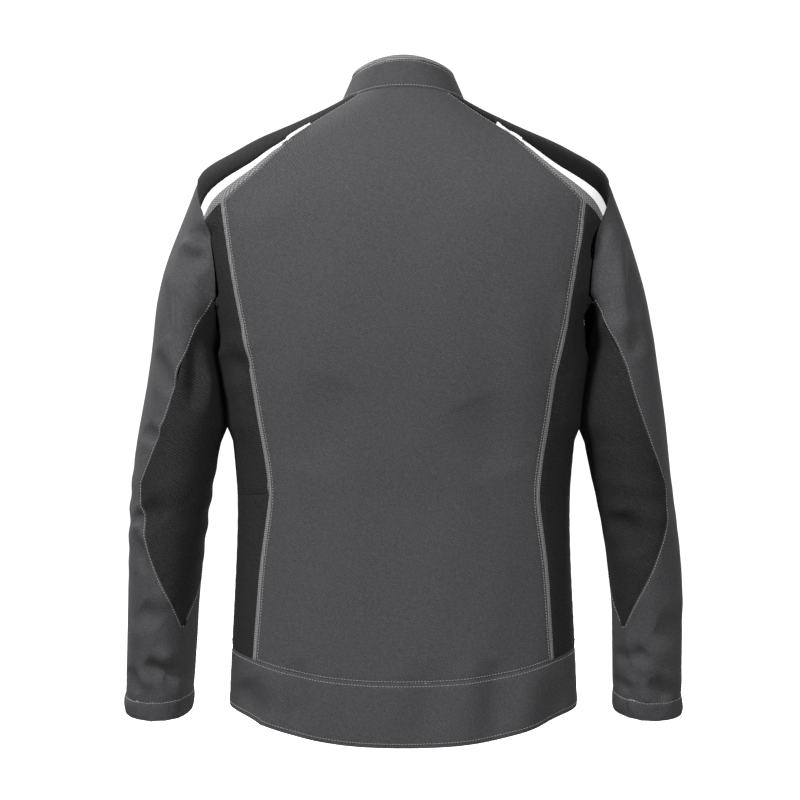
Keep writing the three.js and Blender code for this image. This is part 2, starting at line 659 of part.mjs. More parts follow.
const collarHeight = bodySurface(0, -1).distanceTo(bodySurface(0, 0));
const collarBandLevel = -1 + collarBandHeight / collarHeight;
const collarColumns = 20;
function collarRow(level, edge) {
  const [[end]] = besideZip(edge, [level]);
  return Array.from({ length: collarColumns + 1 }, (_, j) => [mix(-end, end, j / collarColumns), level]);
}
const collarLevels = [-1, 0];
const collarRows = [collarBandLevel, collarBandLevel / 2, 0].map((level) => collarRow(level, zipEdge));
const collarOptions = { insets: { bottom: creaseInset }, levels: collarLevels };
add('collar_outer', panel(bodySurface, collarRows, collarOptions), greyTwill);
add('collar_lining', panel(bodySurface, collarRows, {
  lift: insideTapeLift,
  thickness: liningThickness,
  insets: { bottom: creaseInset * 2 },
  levels: collarLevels,
}), blackTwill);
const foldDepth = clothThickness - insideTapeLift;
add('collar_band', panel(bodySurface, [-1, collarBandLevel].map((level) => collarRow(level, zipEdge)),
  { lift: (clothThickness - foldDepth) / 2, thickness: foldDepth, levels: collarLevels }), lightBand);

// ---------------------------------------------------------------- zip

const tapeLevels = [-0.86, -0.43, 0, 0.5, 1, 2, 3, 4, 5, 6, 7, 8, 9, 9.75];
const teethEdge = toothRowGap / 2 + toothRowWidth;
addPair('zip_tape', panel(bodySurface,
  between(besideZip(teethEdge + tapeWidth, tapeLevels), besideZip(teethEdge + layerGap, tapeLevels), 2),
  { lift: -tapeInset, thickness: tapeThickness, levels: [-1, hemLevel] }), zipCloth);

// The zip's parts are straight, so they are made upright and leaned along the zip line.
const zipDirection = new THREE.Vector3(0, zipLineY(1) - zipLineY(0), 1).normalize();
const zipLean = Math.atan2(zipDirection.y, zipDirection.z);
function leanedAlongZip(geometry, z) {
  geometry.rotateX(-zipLean);
  geometry.translate(0, zipLineY(z), z);
  return geometry;
}
const zipStretch = 1 / zipDirection.z;
const toothRow = (top, bottom) => {
  const bar = new THREE.BoxGeometry(toothRowWidth, toothRowDepth, (top - bottom) * zipStretch);
  bar.translate(toothRowGap / 2 + toothRowWidth / 2, 0, 0);
  return leanedAlongZip(bar, (top + bottom) / 2);
};
addPair('zip_teeth', toothRow(zipTop, zipBottom), zipPlastic);
const topStopEnd = zipTop + layerGap + stopLength;
addPair('zip_top_stop', toothRow(topStopEnd, zipTop + layerGap), darkMetal);
const boxBar = new THREE.BoxGeometry(2 * teethEdge + 1, toothRowDepth + 1.4, stopLength * 1.6);
add('zip_end_box', leanedAlongZip(boxBar, zipBottom - layerGap - stopLength * 0.8), darkMetal);

// Slider: a front and a back plate joined by a web that runs between the tooth rows.
const plateNear = toothRowDepth / 2 + sliderClearance;
const plateFar = plateNear + sliderPlate;
const halfSlider = sliderWidth / 2;
const halfWeb = sliderWeb / 2;
const halfBack = sliderBackWidth / 2;
const sliderOutline = new THREE.Shape([
  [-halfSlider, -plateFar], [halfSlider, -plateFar], [halfSlider, -plateNear], [halfWeb, -plateNear],
  [halfWeb, plateNear], [halfBack, plateNear], [halfBack, plateFar], [-halfBack, plateFar],
  [-halfBack, plateNear], [-halfWeb, plateNear], [-halfWeb, -plateNear], [-halfSlider, -plateNear],
].map(([x, y]) => new THREE.Vector2(x, y)));

function solidOf(geometry) {
  const bare = geometry.clone();
  bare.deleteAttribute('normal');
  bare.deleteAttribute('uv');
  const merged = mergeVertices(bare);
  return new wasm.Manifold(new wasm.Mesh({
    numProp: 3,
    vertProperties: new Float32Array(merged.attributes.position.array),
    triVerts: new Uint32Array(merged.index.array),
  }));
}

function geometryOf(solid) {
  const mesh = solid.getMesh();
  const geometry = new THREE.BufferGeometry();
  geometry.setAttribute('position', new THREE.Float32BufferAttribute(mesh.vertProperties, 3));
  geometry.setIndex(Array.from(mesh.triVerts));
  return geometry;
}

const sliderBody = new THREE.ExtrudeGeometry(sliderOutline, { depth: sliderLength, bevelEnabled: false });
sliderBody.translate(0, 0, -sliderLength / 2);
const eyeRadius = pullPinDiameter / 2 + sliderClearance;
const eyeOutside = eyeRadius + 1.2;
const pinForward = plateFar + eyeRadius;
const eyeShape = new THREE.Shape();
eyeShape.absarc(0, 0, eyeOutside, 0, Math.PI * 2);
const eyeHole = new THREE.Path();
eyeHole.absarc(0, 0, eyeRadius, 0, Math.PI * 2);
eyeShape.holes.push(eyeHole);
const eyeWidth = 2;
const eye = new THREE.ExtrudeGeometry(eyeShape, { depth: eyeWidth, bevelEnabled: false, curveSegments: 12 });
eye.translate(0, 0, -eyeWidth / 2);
eye.rotateY(Math.PI / 2);
eye.translate(0, -pinForward, 0);
const behindPlate = new THREE.BoxGeometry(20, 4, 20);
behindPlate.translate(0, -plateNear + 2, 0);
const crown = solidOf(eye).subtract(solidOf(behindPlate));
add('zip_slider', leanedAlongZip(geometryOf(solidOf(sliderBody).add(crown)), sliderRestZ), darkMetal);

// Pull: a flat tab on two arms, with a pin through the slider's eye.
const halfPull = pullWidth / 2;
const armInner = eyeWidth / 2 + sliderClearance;
const windowBottom = -eyeOutside - sliderClearance - 1;
const pullTop = pullPinDiameter / 2;
const tabOutline = new THREE.Shape([
  [-halfPull, pullTop], [-halfPull, -pullLength + 2], [-halfPull + 2, -pullLength],
  [halfPull - 2, -pullLength], [halfPull, -pullLength + 2], [halfPull, pullTop],
].map(([x, y]) => new THREE.Vector2(x, y)));
const tab = new THREE.ExtrudeGeometry(tabOutline, { depth: pullThickness, bevelEnabled: false });
tab.translate(0, 0, -pullThickness / 2);
tab.rotateX(Math.PI / 2);
const windowHeight = pullTop * 4 - windowBottom;
const slot = new THREE.BoxGeometry(armInner * 2, pullThickness * 3, windowHeight);
slot.translate(0, 0, windowBottom + windowHeight / 2);
const pin = new THREE.CylinderGeometry(pullPinDiameter / 2, pullPinDiameter / 2, armInner * 2 + 1, 12);
pin.rotateZ(Math.PI / 2);
const pullSolid = solidOf(tab).subtract(solidOf(slot)).add(solidOf(pin));
const pullGeometry = geometryOf(pullSolid);
pullGeometry.translate(0, -pinForward, 0);
add('zip_pull', leanedAlongZip(pullGeometry, sliderRestZ), darkMetal);

// ---------------------------------------------------------------- chest pockets

function frontPatch(innerX, outerX, topZ, bottomZ, columns, rows) {
  return Array.from({ length: rows + 1 }, (_, i) => Array.from({ length: columns + 1 }, (__, j) => (
    onFront([mix(outerX, innerX, j / columns), mix(topZ, bottomZ, i / rows)], [3, 8]))));
}
const loose = { top: 0, bottom: 0, left: 0, right: 0 };
const pocketLift = clothThickness + pocketGap;
addPair('chest_pocket', panel(bodySurface,
  frontPatch(pocketInnerX, pocketOuterX, pocketTopZ, pocketBottomZ, 6, 4),
  { lift: pocketLift, insets: loose, levels: bodyLevels }), greyTwill);
const flapLift = pocketLift + clothThickness + flapStandOff;
addPair('chest_flap', panel(bodySurface,
  frontPatch(pocketInnerX - flapOverhang, pocketOuterX + flapOverhang, flapTopZ, flapBottomZ, 6, 2),
  { lift: flapLift, insets: loose, levels: bodyLevels }), blackTwill);

// Snap parts are turned so that they lie flat on the cloth.
function placedOnFront(geometry, x, z, lift) {
  const [turn, level] = onFront([x, z], [3, 8]);
  const normal = normalAt(bodySurface, turn, level, ...bodyLevels);
  geometry.applyQuaternion(new THREE.Quaternion().setFromUnitVectors(new THREE.Vector3(0, 1, 0), normal));
  const place = bodySurface(turn, level).addScaledVector(normal, lift);
  geometry.translate(place.x, place.y, place.z);
  return geometry;
}
const snapX = (pocketInnerX + pocketOuterX) / 2;
const snapZ = flapBottomZ + 14;
const capRadius = snapCapDiameter / 2;
const capProfile = [[0, 0], [capRadius, 0], [capRadius, snapCapHeight * 0.5],
  [capRadius * 0.7, snapCapHeight], [0, snapCapHeight]].map(([x, y]) => new THREE.Vector2(x, y));
addPair('snap_cap', placedOnFront(new THREE.LatheGeometry(capProfile, 16), snapX, snapZ,
  flapLift + clothThickness / 2 + layerGap), darkMetal);
const studHeight = flapStandOff - 2 * layerGap;
const stud = new THREE.CylinderGeometry(snapStudDiameter / 2, snapStudDiameter / 2, studHeight, 14);
addPair('snap_stud', placedOnFront(stud, snapX, snapZ,
  pocketLift + clothThickness / 2 + flapStandOff / 2), darkMetal);

// ---------------------------------------------------------------- hip pockets

const weltEnds = [[welt.outerX, welt.lowerZ], [welt.innerX, welt.upperZ]];
const weltRise = weltEnds[1][1] - weltEnds[0][1];
const weltRun = weltEnds[0][0] - weltEnds[1][0];
const weltAcross = new THREE.Vector2(weltRise, weltRun).setLength(weltWidth / 2);
const weltPlace = (share, side) => onFront([
  mix(weltEnds[0][0], weltEnds[1][0], share) - side * weltAcross.x,
  mix(weltEnds[0][1], weltEnds[1][1], share) - side * weltAcross.y], [5, 9.5]);
const weltGrid = Array.from({ length: 6 }, (_, i) => [
  weltPlace(1 - i / 5, -1), weltPlace(1 - i / 5, 1)]);
addPair('hip_pocket_welt', panel(bodySurface, weltGrid,
  { lift: pocketLift, insets: loose, levels: bodyLevels }), blackTwill);

// ---------------------------------------------------------------- sleeves

const sleeveLevels = [0, cuffEnd];
const capSteps = 3;
const upperCount = 7;
const foreCount = 7;

// The elbow panel's back edge: one place for each row from the armhole to the panel's tip.
const seamPlaces = (points) => points.map((p) => onSleeveBack(gradedOnSleeve(p)));
const backSeam = [...seamPlaces(elbowSeamUpper), ...seamPlaces(elbowSeamLower).slice(1)];
backSeam[0][1] = 0;
const tipLevel = backSeam.at(-1)[1];

function turnAtLevel(places, level) {
  const next = places.findIndex((place) => place[1] >= level);
  if (next <= 0) return places[0][0];
  const [a, b] = [places[next - 1], places[next]];
  return mix(a[0], b[0], (level - a[1]) / (b[1] - a[1]));
}
const smoothBackSeam = [...seam(backSeam.slice(0, 6), 24), ...seam(backSeam.slice(5), 24).slice(1)];
const tipOfFrontSeam = [backSeam.at(-1)[0] - tipHalfTurn, tipLevel];
const frontSeam = elbowFrontTurns.map((turn, i) => [turn, i]).concat([tipOfFrontSeam]);
const smoothFrontSeam = seam(frontSeam, 40);
const backTurn = (level) => (level < tipLevel ? turnAtLevel(smoothBackSeam, level) : mix(
  backSeam.at(-1)[0], forearmSeamTurn, (level - tipLevel) / (cuffSeam - tipLevel)));
const frontTurn = (level) => (level < tipLevel ? turnAtLevel(smoothFrontSeam, level) : backTurn(level));

const stepsOf = (count) => Array.from({ length: count + 1 }, (_, i) => i / count);
const levelsBetween = (from, to, count) => stepsOf(count).map((t) => mix(from, to, t));
const sleeveGrid = (levels, start, end, columns) => (
  levels.map((level) => hemRow(level, start(level), end(level), columns)));
function sleevePanel(levels, start, end, columns, insets) {
  return panel(sleeveSurface, sleeveGrid(levels, start, end, columns), { insets, levels: sleeveLevels });
}
const outerColumns = 12;
const innerColumns = 6;
const fullTurn = (level) => frontTurn(level) + 1;
const capInsets = { top: creaseInset, bottom: jointInset };
const alongSleeve = { left: roundSeamInset, right: roundSeamInset };
const upperInsets = { ...alongSleeve, top: jointInset, bottom: jointInset };
const foreInsets = { ...alongSleeve, top: jointInset };
const capLevels = levelsBetween(0, shoulderCut, capSteps);
const upperLevels = levelsBetween(shoulderCut, elbowCut, upperCount);
const tipRows = 5;
const tipBlunt = 0.86;           // the elbow panel's point stops this share of its last row
const tipLevels = levelsBetween(elbowCut, tipLevel, tipRows);
const foreLevels = [...tipLevels, ...levelsBetween(tipLevel, cuffSeam, foreCount - 4).slice(1)];

addPair('sleeve_cap', sleevePanel(capLevels, backTurn, fullTurn, outerColumns, capInsets), greyTwill);
addPair('underarm_gusset', sleevePanel(capLevels, frontTurn, backTurn, innerColumns,
  { top: underarmInset, bottom: jointInset }), blackTwill);
addPair('upper_sleeve', sleevePanel(upperLevels, backTurn, fullTurn, outerColumns, upperInsets), greyTwill);
const upperElbow = sleevePanel(upperLevels, frontTurn, backTurn, innerColumns, upperInsets);
addPair('upper_elbow_panel', upperElbow, blackTwill);
addPair('lower_sleeve', sleevePanel(foreLevels, backTurn, fullTurn, outerColumns, foreInsets), greyTwill);
const elbowGrid = sleeveGrid(tipLevels, frontTurn, backTurn, innerColumns);
const lastWholeRow = elbowGrid[tipRows - 1];
elbowGrid[tipRows] = elbowGrid[tipRows].map((place, j) => alongTail(lastWholeRow[j], place, tipBlunt));
addPair('lower_elbow_panel', panel(sleeveSurface, elbowGrid,
  { insets: foreInsets, levels: sleeveLevels }), blackTwill);
addPair('cuff_hem', sleevePanel(levelsBetween(cuffSeam, cuffEnd, 2), () => forearmSeamTurn,
  () => forearmSeamTurn + 1, 16, {}), greyTwill);

// ---------------------------------------------------------------- neck tape and hanger loop

const tapeLift = -(clothThickness + layerGap);
const neckTapeRow = (level) => hemRow(level, -neckTapeTurn, neckTapeTurn, neckTapeColumns);
const neckTapeTop = 0.06;
const firstRingHeight = bodySurface(0, 0).distanceTo(bodySurface(0, 1));
const neckTapeLevels = [neckTapeTop, neckTapeTop + neckTapeWidth / firstRingHeight];
add('neck_tape', panel(bodySurface, neckTapeLevels.map(neckTapeRow),
  { lift: tapeLift, thickness: neckTapeThickness, levels: bodyLevels }), blackTwill);

const loopY = bodyRings[0].backY - loopStandOff;
const loopPath = new THREE.CatmullRomCurve3([
  [-loopSpan / 2, loopBaseZ], [-loopSpan / 3, loopBaseZ + loopRise * loopShoulder], [0, loopBaseZ + loopRise],
  [loopSpan / 3, loopBaseZ + loopRise * loopShoulder], [loopSpan / 2, loopBaseZ],
].map(([x, z]) => new THREE.Vector3(x, loopY, z)));
const outlineTop = loopPath.getSpacedPoints(16);
const loopNarrowing = 1 - 2 * loopWidth / loopSpan;
const loopOutline = new THREE.Shape([
  ...outlineTop.map((p) => new THREE.Vector2(p.x, p.z)),
  ...outlineTop.toReversed().map((p) => new THREE.Vector2(p.x * loopNarrowing, p.z - loopWidth)),
]);
const loop = new THREE.ExtrudeGeometry(loopOutline, { depth: loopThickness, bevelEnabled: false });
loop.rotateX(Math.PI / 2);
loop.translate(0, loopY + loopThickness / 2, 0);
add('hanger_loop', loop, blackTwill);

// ---------------------------------------------------------------- origin

const loopTop = new THREE.Vector3(0, loopY, loopBaseZ + loopRise - loopWidth);
for (const mesh of jacket.children) mesh.position.sub(loopTop);

export default jacket;
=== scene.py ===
# %% [markdown]
# # A work jacket, sewn from its panels
# The jacket hangs open as if someone wore it. Its cloth panels, zip and snaps come from a packed
# CAD frame, in metres, +Z up, with the front towards -Y. The frame's panels are plain thin solids.
# This notebook turns each one into cloth: a fine sheet with folds, seams, thread and weave.

# %% Load the frame
import bpy
import bmesh
import numpy as np
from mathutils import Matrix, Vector
from mathutils.bvhtree import BVHTree
from mathutils.kdtree import KDTree


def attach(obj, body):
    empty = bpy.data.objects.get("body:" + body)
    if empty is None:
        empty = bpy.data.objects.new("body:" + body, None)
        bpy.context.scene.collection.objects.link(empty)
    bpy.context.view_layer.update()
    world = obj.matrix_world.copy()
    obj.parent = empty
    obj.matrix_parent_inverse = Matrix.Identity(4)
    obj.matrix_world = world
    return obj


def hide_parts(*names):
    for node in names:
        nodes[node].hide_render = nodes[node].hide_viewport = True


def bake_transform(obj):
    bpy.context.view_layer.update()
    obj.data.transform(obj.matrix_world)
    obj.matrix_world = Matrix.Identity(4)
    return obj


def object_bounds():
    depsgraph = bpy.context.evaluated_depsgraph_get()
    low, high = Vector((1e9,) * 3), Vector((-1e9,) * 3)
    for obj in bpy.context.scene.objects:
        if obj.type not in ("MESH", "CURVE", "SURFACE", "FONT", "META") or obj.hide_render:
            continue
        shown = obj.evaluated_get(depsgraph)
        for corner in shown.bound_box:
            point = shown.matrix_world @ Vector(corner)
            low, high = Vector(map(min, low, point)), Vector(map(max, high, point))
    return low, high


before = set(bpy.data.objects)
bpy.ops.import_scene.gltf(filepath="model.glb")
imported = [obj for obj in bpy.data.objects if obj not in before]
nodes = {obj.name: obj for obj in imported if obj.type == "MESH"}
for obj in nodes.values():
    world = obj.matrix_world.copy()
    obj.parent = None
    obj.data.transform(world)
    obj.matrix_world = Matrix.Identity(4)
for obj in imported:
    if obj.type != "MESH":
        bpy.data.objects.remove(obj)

cad_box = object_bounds()
MM = 0.001
SIDES = ("left", "right")
print("frame has", len(nodes), "nodes, box", [[round(v, 3) for v in corner] for corner in cad_box])

# %% [markdown]
# ## Camera, floor and light
# The view is straight at the back from a little over three metres, at half the jacket's height,
# so that shoulders and hem are both seen almost level. A long lens keeps the outline square.
# A pale sweep, which is a floor that curves up into a wall, gives an even ground without a corner.

# %% Camera
CAMERA_DISTANCE = 3.3
FIELD_WIDTH = 0.880              # what the picture takes in at the jacket's side line
side_line_y = (cad_box[0][1] + cad_box[1][1]) / 2
camera_data = bpy.data.cameras.new("camera")
camera_data.sensor_width = 36
camera_data.lens = camera_data.sensor_width * CAMERA_DISTANCE / FIELD_WIDTH
camera = bpy.data.objects.new("camera", camera_data)
camera.location = (0.0036, side_line_y + CAMERA_DISTANCE, -0.348)
camera.rotation_euler = (np.pi / 2, 0, np.pi)
bpy.context.scene.collection.objects.link(camera)
bpy.context.scene.camera = camera
print("lens", round(camera_data.lens, 1), "mm")


# %% Colours and nodes
def linear(code, alpha=1.0):
    """An sRGB hex colour as the linear values that a shader takes."""
    parts = [int(code[i:i + 2], 16) / 255 for i in (1, 3, 5)]
    return [c / 12.92 if c <= 0.04045 else ((c + 0.055) / 1.055) ** 2.4 for c in parts] + [alpha]


def node(tree, kind, links=None, **settings):
    """Adds a shader node, sets its properties and sockets, and links sockets from other nodes."""
    made = tree.nodes.new(f"ShaderNode{kind}")
    for name, value in settings.items():
        if hasattr(made, name):
            setattr(made, name, value)
    for key, value in (links or {}).items():
        if isinstance(value, bpy.types.NodeSocket):
            tree.links.new(value, made.inputs[key])
        else:
            made.inputs[key].default_value = value
    return made


def new_material(name):
    material = bpy.data.materials.new(name)
    material.use_nodes = True
    tree = material.node_tree
    tree.nodes.clear()
    return material, tree


def noise_at(tree, place, scale, detail, roughness=0.5):
    texture = node(tree, "TexNoise", {
        "Vector": place, "Scale": scale, "Detail": detail, "Roughness": roughness})
    return texture.outputs["Fac"]


def colour_between(tree, share, first, second):
    """A colour between two others, each given as an sRGB hex code or as another node's output."""
    first, second = (linear(c) if isinstance(c, str) else c for c in (first, second))
    mix = node(tree, "Mix", {"Factor": share, 6: first, 7: second}, data_type="RGBA")
    return mix.outputs[2]


def value_between(tree, value, low, high, start=0, end=1):
    """Low where the value is at its start, high where it is at its end."""
    spread = node(tree, "MapRange", {
        "Value": value, "From Min": start, "From Max": end, "To Min": low, "To Max": high})
    return spread.outputs[0]


def relief(tree, height, distance, strength):
    made = node(tree, "Bump", {"Height": height, "Distance": distance, "Strength": strength})
    return made.outputs[0]


def surface(tree, colour, roughness, settings):
    shader = node(tree, "BsdfPrincipled", {
        "Base Color": colour, "Roughness": roughness} | settings)
    output = node(tree, "OutputMaterial")
    tree.links.new(shader.outputs[0], output.inputs["Surface"])


# %% Floor and lights
# The sweep is lit by its own faint glow and isn't seen by the cloth's diffuse light, so the ground
# stays even while the jacket keeps the contrast of its own lamps.
sweep_material, tree = new_material("painted_studio_sweep")
surface(tree, linear("#f4f4f4"), 0.95, {
    "Specular IOR Level": 0.1, "Emission Color": (1, 1, 1, 1), "Emission Strength": 0.9})
FLOOR_Z = cad_box[0][2] - 0.06
WALL_RADIUS = 6.0
WALL_CURVE = 1.5
turns = np.linspace(0, np.pi / 2, 13)
profile = [(0.8, FLOOR_Z)] + [(WALL_RADIUS - WALL_CURVE + WALL_CURVE * np.sin(t),
                                FLOOR_Z + WALL_CURVE * (1 - np.cos(t))) for t in turns]
profile.append((WALL_RADIUS, FLOOR_Z + 8.0))
WALL_SIDES = 96
around = np.linspace(0, 2 * np.pi, WALL_SIDES, endpoint=False)
sweep_points = [(r * np.cos(t), r * np.sin(t), z) for r, z in profile for t in around]
sweep_faces = [(i * WALL_SIDES + j, i * WALL_SIDES + (j + 1) % WALL_SIDES,
                (i + 1) * WALL_SIDES + (j + 1) % WALL_SIDES, (i + 1) * WALL_SIDES + j)
               for i in range(len(profile) - 1) for j in range(WALL_SIDES)]
sweep_faces.append(tuple(range(WALL_SIDES))[::-1])
sweep_mesh = bpy.data.meshes.new("studio_sweep")
sweep_mesh.from_pydata(sweep_points, [], sweep_faces)
sweep_mesh.polygons.foreach_set("use_smooth", [True] * len(sweep_faces))
sweep_mesh.materials.append(sweep_material)
sweep = bpy.data.objects.new("studio_sweep", sweep_mesh)
sweep.visible_diffuse = False
sweep.visible_glossy = False
bpy.context.scene.collection.objects.link(sweep)

world = bpy.data.worlds.new("studio")
bpy.context.scene.world = world
world.use_nodes = True
world.node_tree.nodes["Background"].inputs[0].default_value = (1, 1, 1, 1)
world.node_tree.nodes["Background"].inputs[1].default_value = 0.24


def area_light(name, place, target, size, watts):
    data = bpy.data.lights.new(name, "AREA")
    data.shape = "RECTANGLE"
    data.size, data.size_y = size
    data.energy = watts
    light = bpy.data.objects.new(name, data)
    light.location = place
    direction = Vector(target) - Vector(place)
    light.rotation_euler = direction.to_track_quat("-Z", "Y").to_euler()
    bpy.context.scene.collection.objects.link(light)


middle = (0, side_line_y, -0.33)
area_light("key", (1.5, 1.7, 1.5), middle, (0.7, 0.7), 66)
area_light("fill", (-1.2, 2.4, 0.6), middle, (1.0, 1.0), 24)
area_light("front_key", (1.5, -1.8, 1.5), middle, (0.7, 0.7), 66)
area_light("front_fill", (-1.2, -2.4, 0.6), middle, (1.0, 1.0), 24)
bpy.context.scene.view_settings.view_transform = "Standard"
print("floor at", round(FLOOR_Z, 3))

# %% [markdown]
# ## From thin solids to sheets
# A CAD cloth panel is a closed shell: an outer face, an inner face and a rim. Cloth is easier to
# shape as one open sheet, so the outer face alone is kept. The rim meets both faces at a right
# angle, so the faces fall into smooth patches, and the outer one is the patch that looks away from
# the middle of the body or sleeve.

# %% Outer faces
SLEEVE_AXIS = np.array([(0.222, -0.033, -0.100), (0.228, -0.032, -0.220), (0.238, -0.034, -0.340),
                        (0.2575, -0.0385, -0.473), (0.268, -0.050, -0.600), (0.270, -0.061, -0.720)])
SLEEVE_NODES = ("sleeve_cap", "upper_sleeve", "lower_sleeve", "underarm_gusset",
                "upper_elbow_panel", "lower_elbow_panel", "cuff_hem")


def family(name):
    return name.rsplit("_", 1)[0] if name.endswith(SIDES) else name


def heart_of(name, point):
    """A point inside the jacket that the cloth at this point looks away from."""
    if family(name) in SLEEVE_NODES:
        side = 1 if point[0] > 0 else -1
        heights = SLEEVE_AXIS[::-1, 2]
        x, y = (np.interp(point[2], heights, SLEEVE_AXIS[::-1, k]) for k in (0, 1))
        return Vector((side * x, y, point[2]))
    if name.startswith("collar") or name == "neck_tape":
        return Vector((0, -0.055, point[2] - 0.02))
    return Vector((0.45 * point[0], -0.035, min(point[2] - 0.05, -0.12)))


def smooth_patches(bm, sharpest=50):
    """Groups of faces that meet each other at less than the given angle, in degrees."""
    left = set(bm.faces)
    while left:
        stack = [left.pop()]
        patch = list(stack)
        while stack:
            for edge in stack.pop().edges:
                if edge.calc_face_angle(0) > np.radians(sharpest):
                    continue
                for face in edge.link_faces:
                    if face in left:
                        left.remove(face)
                        stack.append(face)
                        patch.append(face)
        yield patch


def outward(name, face):
    centre = face.calc_center_median()
    return face.normal.dot((centre - heart_of(name, centre)).normalized()) * face.calc_area()


def outer_sheet(name):
    """The outer face of a CAD panel as a bmesh of quads."""
    bm = bmesh.new()
    bm.from_mesh(nodes[name].data)
    bmesh.ops.remove_doubles(bm, verts=bm.verts, dist=1e-6)
    keep = max(smooth_patches(bm), key=lambda patch: sum(outward(name, face) for face in patch))
    keep = set(keep)
    bmesh.ops.delete(bm, geom=[f for f in bm.faces if f not in keep], context="FACES")
    bmesh.ops.join_triangles(bm, faces=bm.faces, angle_face_threshold=3.1, angle_shape_threshold=3.1)
    return bm


BODY_PANELS = ["back_panel", "hem_band_back", "collar_outer", "collar_band"] + [
    f"{kind}_{side}" for side in SIDES for kind in (
        "yoke", "shoulder_stripe", "shoulder_band", "princess_band", "side_panel_upper",
        "side_panel_lower", "front_panel", "front_side_panel", "hem_band_front", "cuff_hem")]
SLEEVE_RUNS = {
    "sleeve_cloth": ("sleeve_cap", "upper_sleeve", "lower_sleeve"),
    "elbow_cloth": ("underarm_gusset", "upper_elbow_panel", "lower_elbow_panel"),
}
LOOSE_PANELS = ["collar_lining", "neck_tape"] + [
    f"{kind}_{side}" for side in SIDES for kind in (
        "front_facing", "zip_tape", "chest_pocket", "chest_flap", "hip_pocket_welt")]

sheets = {name: outer_sheet(name) for name in BODY_PANELS + LOOSE_PANELS}
for name, bm in sheets.items():
    print(f"{name}: {len(bm.faces)} faces,", sum(len(f.verts) == 4 for f in bm.faces), "quads")

# %% [markdown]
# A sleeve bends at the shoulder and elbow, where the frame has cuts. Real cloth runs on across
# them, so the three lengths are joined into one sheet and their facing edges are merged.

# %% Joined sleeves
CUT_GAP = 3.0 * MM


def point_index(places):
    """A tree that finds the nearest of the given places quickly."""
    index = KDTree(len(places))
    for i, place in enumerate(places):
        index.insert(place, i)
    index.balance()
    return index


def joined_sheet(names):
    """One bmesh of several sheets, welded where the rim of each meets the rim of the next."""
    whole = bmesh.new()
    owner = []
    for number, name in enumerate(names):
        part = outer_sheet(name)
        scratch = bpy.data.meshes.new("scratch")
        part.to_mesh(scratch)
        part.free()
        whole.from_mesh(scratch)
        owner += [number] * len(scratch.vertices)
        bpy.data.meshes.remove(scratch)
    whole.verts.index_update()
    rims = [v for v in whole.verts if v.is_boundary]
    index = point_index([v.co for v in rims])
    merges = {}
    for v in rims:
        for _, j, _ in index.find_range(v.co, CUT_GAP):
            other = rims[j]
            if owner[other.index] == owner[v.index] + 1 and other not in merges:
                v.co = (v.co + other.co) / 2
                merges[other] = v
                break
    bmesh.ops.weld_verts(whole, targetmap=merges)
    print(names[0], "to", names[-1], "welded at", len(merges), "places")
    return whole


for side in SIDES:
    for run, parts in SLEEVE_RUNS.items():
        sheets[f"{run}_{side}"] = joined_sheet([f"{part}_{side}" for part in parts])

# %% [markdown]
# ## Closing the seams
# The frame keeps a small gap between neighbouring panels. On the jacket they are sewn edge to
# edge, so each rim vertex moves half of the way to the nearest rim of a neighbour. The cloth
# beside the armpit turns sharply, so the reach is wider there.

# %% Sewn edges
SEAM_REACH = 3.6 * MM
ARMPIT_REACH = 24 * MM
ARMPIT = np.array((0.203, -0.0325, -0.290))
SEWN = [name for name in sheets if name not in LOOSE_PANELS and name != "collar_band"]


def mesh_arrays(mesh):
    """Positions and normals of a mesh as numpy arrays."""
    points = np.empty(len(mesh.vertices) * 3)
    normals = np.empty(len(mesh.vertices) * 3)
    mesh.vertices.foreach_get("co", points)
    mesh.vertices.foreach_get("normal", normals)
    return points.reshape(-1, 3), normals.reshape(-1, 3)


def move_points(mesh, points):
    mesh.vertices.foreach_set("co", points.ravel())
    mesh.update()


def rim_loops(mesh):
    """The open edges of a sheet as ordered lists of points, each loop once round."""
    uses = {}
    for polygon in mesh.polygons:
        for key in polygon.edge_keys:
            uses[key] = uses.get(key, 0) + 1
    following = {}
    for (a, b), count in uses.items():
        if count == 1:
            following.setdefault(a, []).append(b)
            following.setdefault(b, []).append(a)
    loops = []
    seen = set()
    for start in following:
        if start in seen:
            continue
        loop = [start]
        seen.add(start)
        while True:
            onward = [v for v in following[loop[-1]] if v not in seen]
            if not onward:
                break
            loop.append(onward[0])
            seen.add(onward[0])
        loops.append(loop)
    return loops


def rim_net(meshes, spacing=0.6 * MM):
    """Close-set points on the open edges of all the meshes, and the name each belongs to."""
    places, owners = [], []
    for name, mesh in meshes.items():
        points, _ = mesh_arrays(mesh)
        for loop in rim_loops(mesh):
            ring = points[loop + loop[:1]]
            for a, b in zip(ring, ring[1:]):
                steps = max(1, int(np.linalg.norm(b - a) / spacing))
                places += [a + (b - a) * i / steps for i in range(steps)]
                owners += [name] * steps
    return point_index(places), owners


def neighbour_at(net, name, place, reach):
    """The nearest rim point of another sheet and that sheet's name, or nothing in reach."""
    index, owners = net
    for point, i, distance in sorted(index.find_range(place, reach), key=lambda hit: hit[2]):
        if owners[i] != name:
            return point, owners[i]
    return None, None


def sew(meshes, armpit_reach):
    net = rim_net(meshes)
    sewn = 0
    moved = {}
    for name, mesh in meshes.items():
        points, _ = mesh_arrays(mesh)
        for v in sorted({v for loop in rim_loops(mesh) for v in loop}):
            mirrored = np.abs(points[v]) * (1, -1, -1)
            near_armpit = np.linalg.norm(mirrored - ARMPIT) < 0.075
            reach = armpit_reach if near_armpit else SEAM_REACH
            point, _ = neighbour_at(net, name, points[v], reach)
            if point is not None:
                points[v] = (points[v] + np.array(point)) / 2
                sewn += 1
        moved[name] = points
    for name, points in moved.items():
        move_points(meshes[name], points)
    print(sewn, "rim points sewn")


